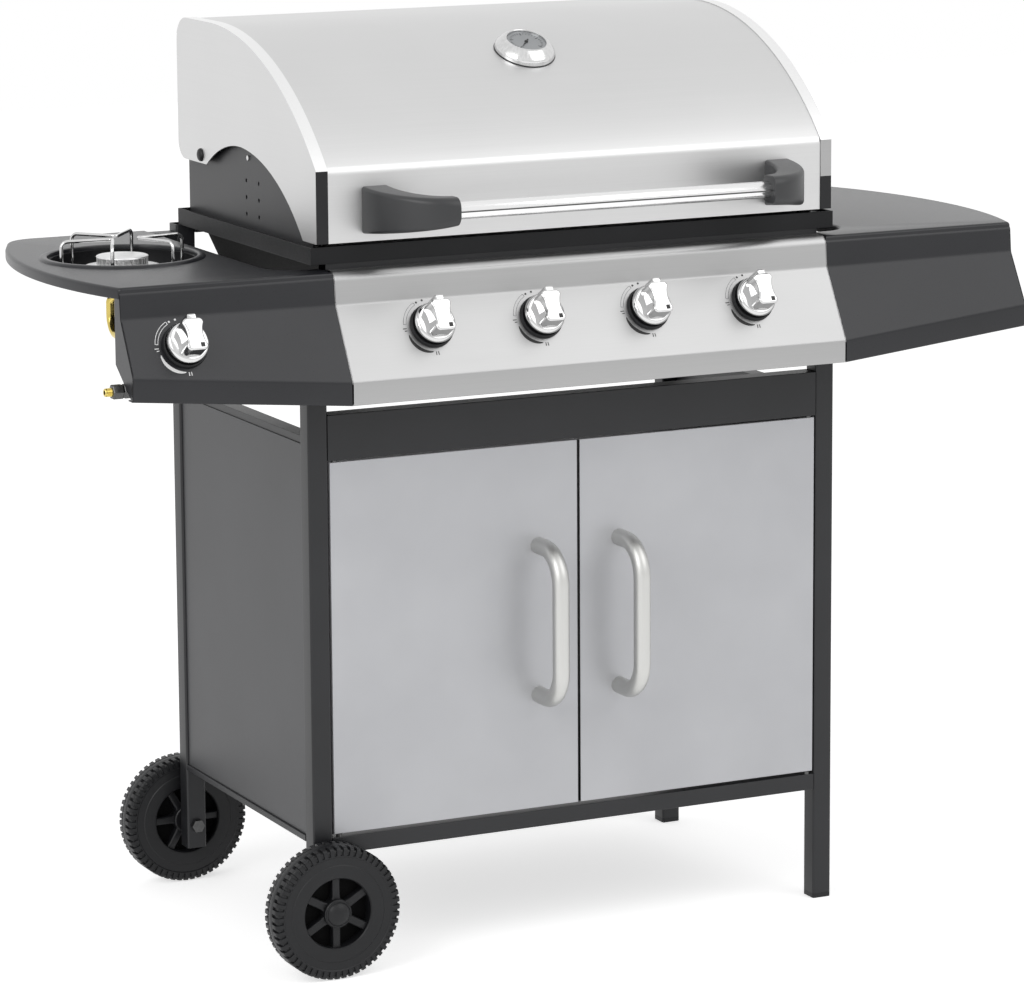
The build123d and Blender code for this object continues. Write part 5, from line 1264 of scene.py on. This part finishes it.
def hinge_bolts():
    """Domed bolt heads over the lid's hinge pins."""
    shape = Shape()
    for side in (-1, 1):
        grid = grid_at((side * (LID_HALF + HINGE_GAP), HINGE_Y, HINGE_Z), (0, 1, 0), (side, 0, 0))
        lathe(shape, grid, HINGE_HEAD, steps=40)
        lathe(shape, grid, HINGE_SPACER, steps=32)
        lathe(shape, grid, HINGE_NUT, HEX_SIDES)
    stand_in(shape, "lid_hinge_bolts", "lid_hinge_pins", "black_plastic")


lid_sheet()
lid_handle()
thermometer()
hinge_bolts()


# Cart, firebox and lid ends: CAD shapes with rounded edges

RIM_LOW_Z = 836.0
STRIP_SPLIT_Z = 906.0
SIDE_RAIL_LOW_Z = 153.0
TAB_T = 1.5
STRIP_T = 0.6
STRIP_BACK = 0.8
STRIP_SHORT = 1.0
LIP_TURN = 0.5

for node, width in (
    ("front_lower_rail", 1.2), ("front_valance", 1.0), ("back_rails", 1.2),
    ("firebox_rails", 1.0), ("table_brackets", 0.5), ("bottom_shelf", 0.4),
    ("side_panels", 0.5), ("foot_caps", 0.8), ("legs", 0.5), ("left_door", 0.3),
    ("right_door", 0.3), ("side_burner_bowl", 0.3), ("firebox_back_wall", 0.5),
    ("cooking_grates", 1.2), ("heat_tents", 0.4), ("drip_tray", 0.4),
    ("drip_tray_runners", 0.4),
):
    dressed(node, width)
dressed("wheel_bolts", 0.3, "dark_steel")
dressed("door_hinge_pins", 0.2, "dark_steel")

# The photo shows no tall rail under the side panel, so the lower rails are low channels
side_rails = dressed("side_rails", 0.5)
split_at(side_rails, SIDE_RAIL_LOW_Z, True)
shade(side_rails, SHARP)


def box_mm(node):
    """The two corners of a CAD node's box, in millimetres."""
    return [Vector(corner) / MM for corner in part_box(node)]


# End flanges close the slit between the valance and the round leg corners
tabs = Shape()
low, high = box_mm("front_valance")
for side in (-1, 1):
    ends = sorted((side * high.x, side * (high.x - TAB_T)))
    tabs.block((ends[0], low.y + TAB_T, low.z), (ends[1], high.y, high.z))
settle(tabs.piece("valance_end_tabs"), "cart", SLOT_OF["front_valance"])

# A thin black strip on the free edge of each door is painted shade that keeps the gap between them dark
for word, side in SIDES:
    strip = Shape()
    low, high = box_mm(word + "_door")
    edge_x = high.x if side < 0 else low.x
    ends = sorted((edge_x, edge_x - side * STRIP_T))
    corner = (ends[0], low.y + STRIP_BACK, low.z + STRIP_SHORT)
    strip.block(corner, (ends[1], high.y, high.z - STRIP_SHORT))
    settle(strip.piece(word + "_door_edge_shade_strip"), word + "_door", "black_plastic")

dressed("firebox_side_walls", 0.5, "wall_paint")
second_finish(dressed("lid_ends", 0.6), "lip_steel", lambda centre, normal: abs(normal.x) < LIP_TURN)
# The firebox tub under its rim is near black as painted shade between the tub and the tables
second_finish(dressed("firebox", 0.6), "shade_black", lambda centre, normal: centre.z < RIM_LOW_Z)

# The black of the strip is its own colour on the left end; on the right end the upper part takes the panel
# steel and the black lower part stands as painted shade of the gap there
strips = dressed("lid_front_strips", 0.4)
split_at(strips, STRIP_SPLIT_Z)
second_finish(strips, "panel_steel", lambda centre, normal: centre.x > 0 and centre.z > STRIP_SPLIT_Z)

for node, finish_slot in SLOT_OF.items():
    cad = frame["nodes"][node]
    cad.data.materials.clear()
    cad.data.materials.append(FINISH[finish_slot])


# Stage: floor, light and camera

FLOOR_ROUGH = 0.9
FLOOR_CLOUD = 3.0
FLOOR_TONES = (0.86, 0.88)
FLOOR_LIFT = 0.62
FLOOR_HALF_M = 9.0
FLOOR_DROP_M = 0.0005
SKY_LIGHT = 0.5
SENSOR_W = 36.0


def background_rays(tree):
    """1 for camera, glossy and transmission rays, which show the background itself."""
    rays = tree.nodes.new("ShaderNodeLightPath")
    shown = rays.outputs["Is Camera Ray"]
    for kind in ("Is Glossy Ray", "Is Transmission Ray"):
        shown = math_node(tree, "MAXIMUM", shown, rays.outputs[kind])
    return shown


def floor_material():
    """Pale floor that the camera sees as white, with a shadow on it."""
    made, tree, shader = new_material("floor")
    tone = noise(tree, EVEN, FLOOR_CLOUD)
    look = {
        "Roughness": FLOOR_ROUGH,
        "Specular IOR Level": 0.0,
        "Base Color": tint(tree, tone, *FLOOR_TONES),
        "Emission Color": (1, 1, 1, 1),
        "Emission Strength": math_node(tree, "MULTIPLY", background_rays(tree), FLOOR_LIFT),
    }
    wire(tree, shader, look)
    return made


corners = [(x * FLOOR_HALF_M, y * FLOOR_HALF_M, 0.0) for x, y in ((-1, -1), (1, -1), (1, 1), (-1, 1))]
floor = new_piece("studio_floor", corners, [(0, 1, 2, 3)])
floor.location.z = -FLOOR_DROP_M
floor.data.materials.append(floor_material())

world = bpy.data.worlds.new("studio")
SCENE.world = world
world.use_nodes = True
sky = world.node_tree
levels = {"Value": background_rays(sky), "To Min": SKY_LIGHT, "To Max": 1.0}
strength = added(sky, "ShaderNodeMapRange", levels, "Result")
wire(sky, sky.nodes["Background"], {"Color": (1, 1, 1, 1), "Strength": strength})


def soft_lamp(name, place, aim, size, watts):
    """A square soft box aimed at a point."""
    data = bpy.data.lights.new(name, "AREA")
    data.size = size
    data.energy = watts
    lamp = linked(name, data)
    lamp.location = place
    lamp.rotation_mode = "QUATERNION"
    lamp.rotation_quaternion = (Vector(aim) - Vector(place)).to_track_quat("-Z", "Y")


soft_lamp("key", (-3.0, -1.6, 2.6), (0, 0, 0.6), 2.2, 46)
soft_lamp("fill", (1.8, -2.6, 3.3), (0, 0, 0.7), 3.0, 36)

PHOTO_W = 1024.0
PHOTO_H = 987.0
FOCAL_PX = 4453.75
CENTRE_PX = (512.0, 410.0)
YAW = radians(25.936)
PITCH = radians(-10.0009)
ROLL = radians(-0.36025)
EYE = (-2.35196, -4.83676, 1.56477)

ahead = Vector((sin(YAW) * cos(PITCH), cos(YAW) * cos(PITCH), sin(PITCH)))
level_right = Vector((cos(YAW), -sin(YAW), 0.0))
level_up = level_right.cross(ahead)
right = level_right * cos(ROLL) + level_up * sin(ROLL)
up = level_up * cos(ROLL) - level_right * sin(ROLL)
camera_data = bpy.data.cameras.new("camera")
camera_data.sensor_width = SENSOR_W
camera_data.lens = FOCAL_PX / PHOTO_W * SENSOR_W
camera_data.shift_x = (PHOTO_W / 2 - CENTRE_PX[0]) / PHOTO_W
camera_data.shift_y = (CENTRE_PX[1] - PHOTO_H / 2) / PHOTO_W
camera_data.clip_end = 100.0
camera = linked("camera", camera_data)
pose = Matrix((right, up, -ahead)).transposed().to_4x4()
pose.translation = Vector(EYE)
camera.matrix_world = pose
SCENE.camera = camera
SCENE.view_settings.view_transform = "Standard"
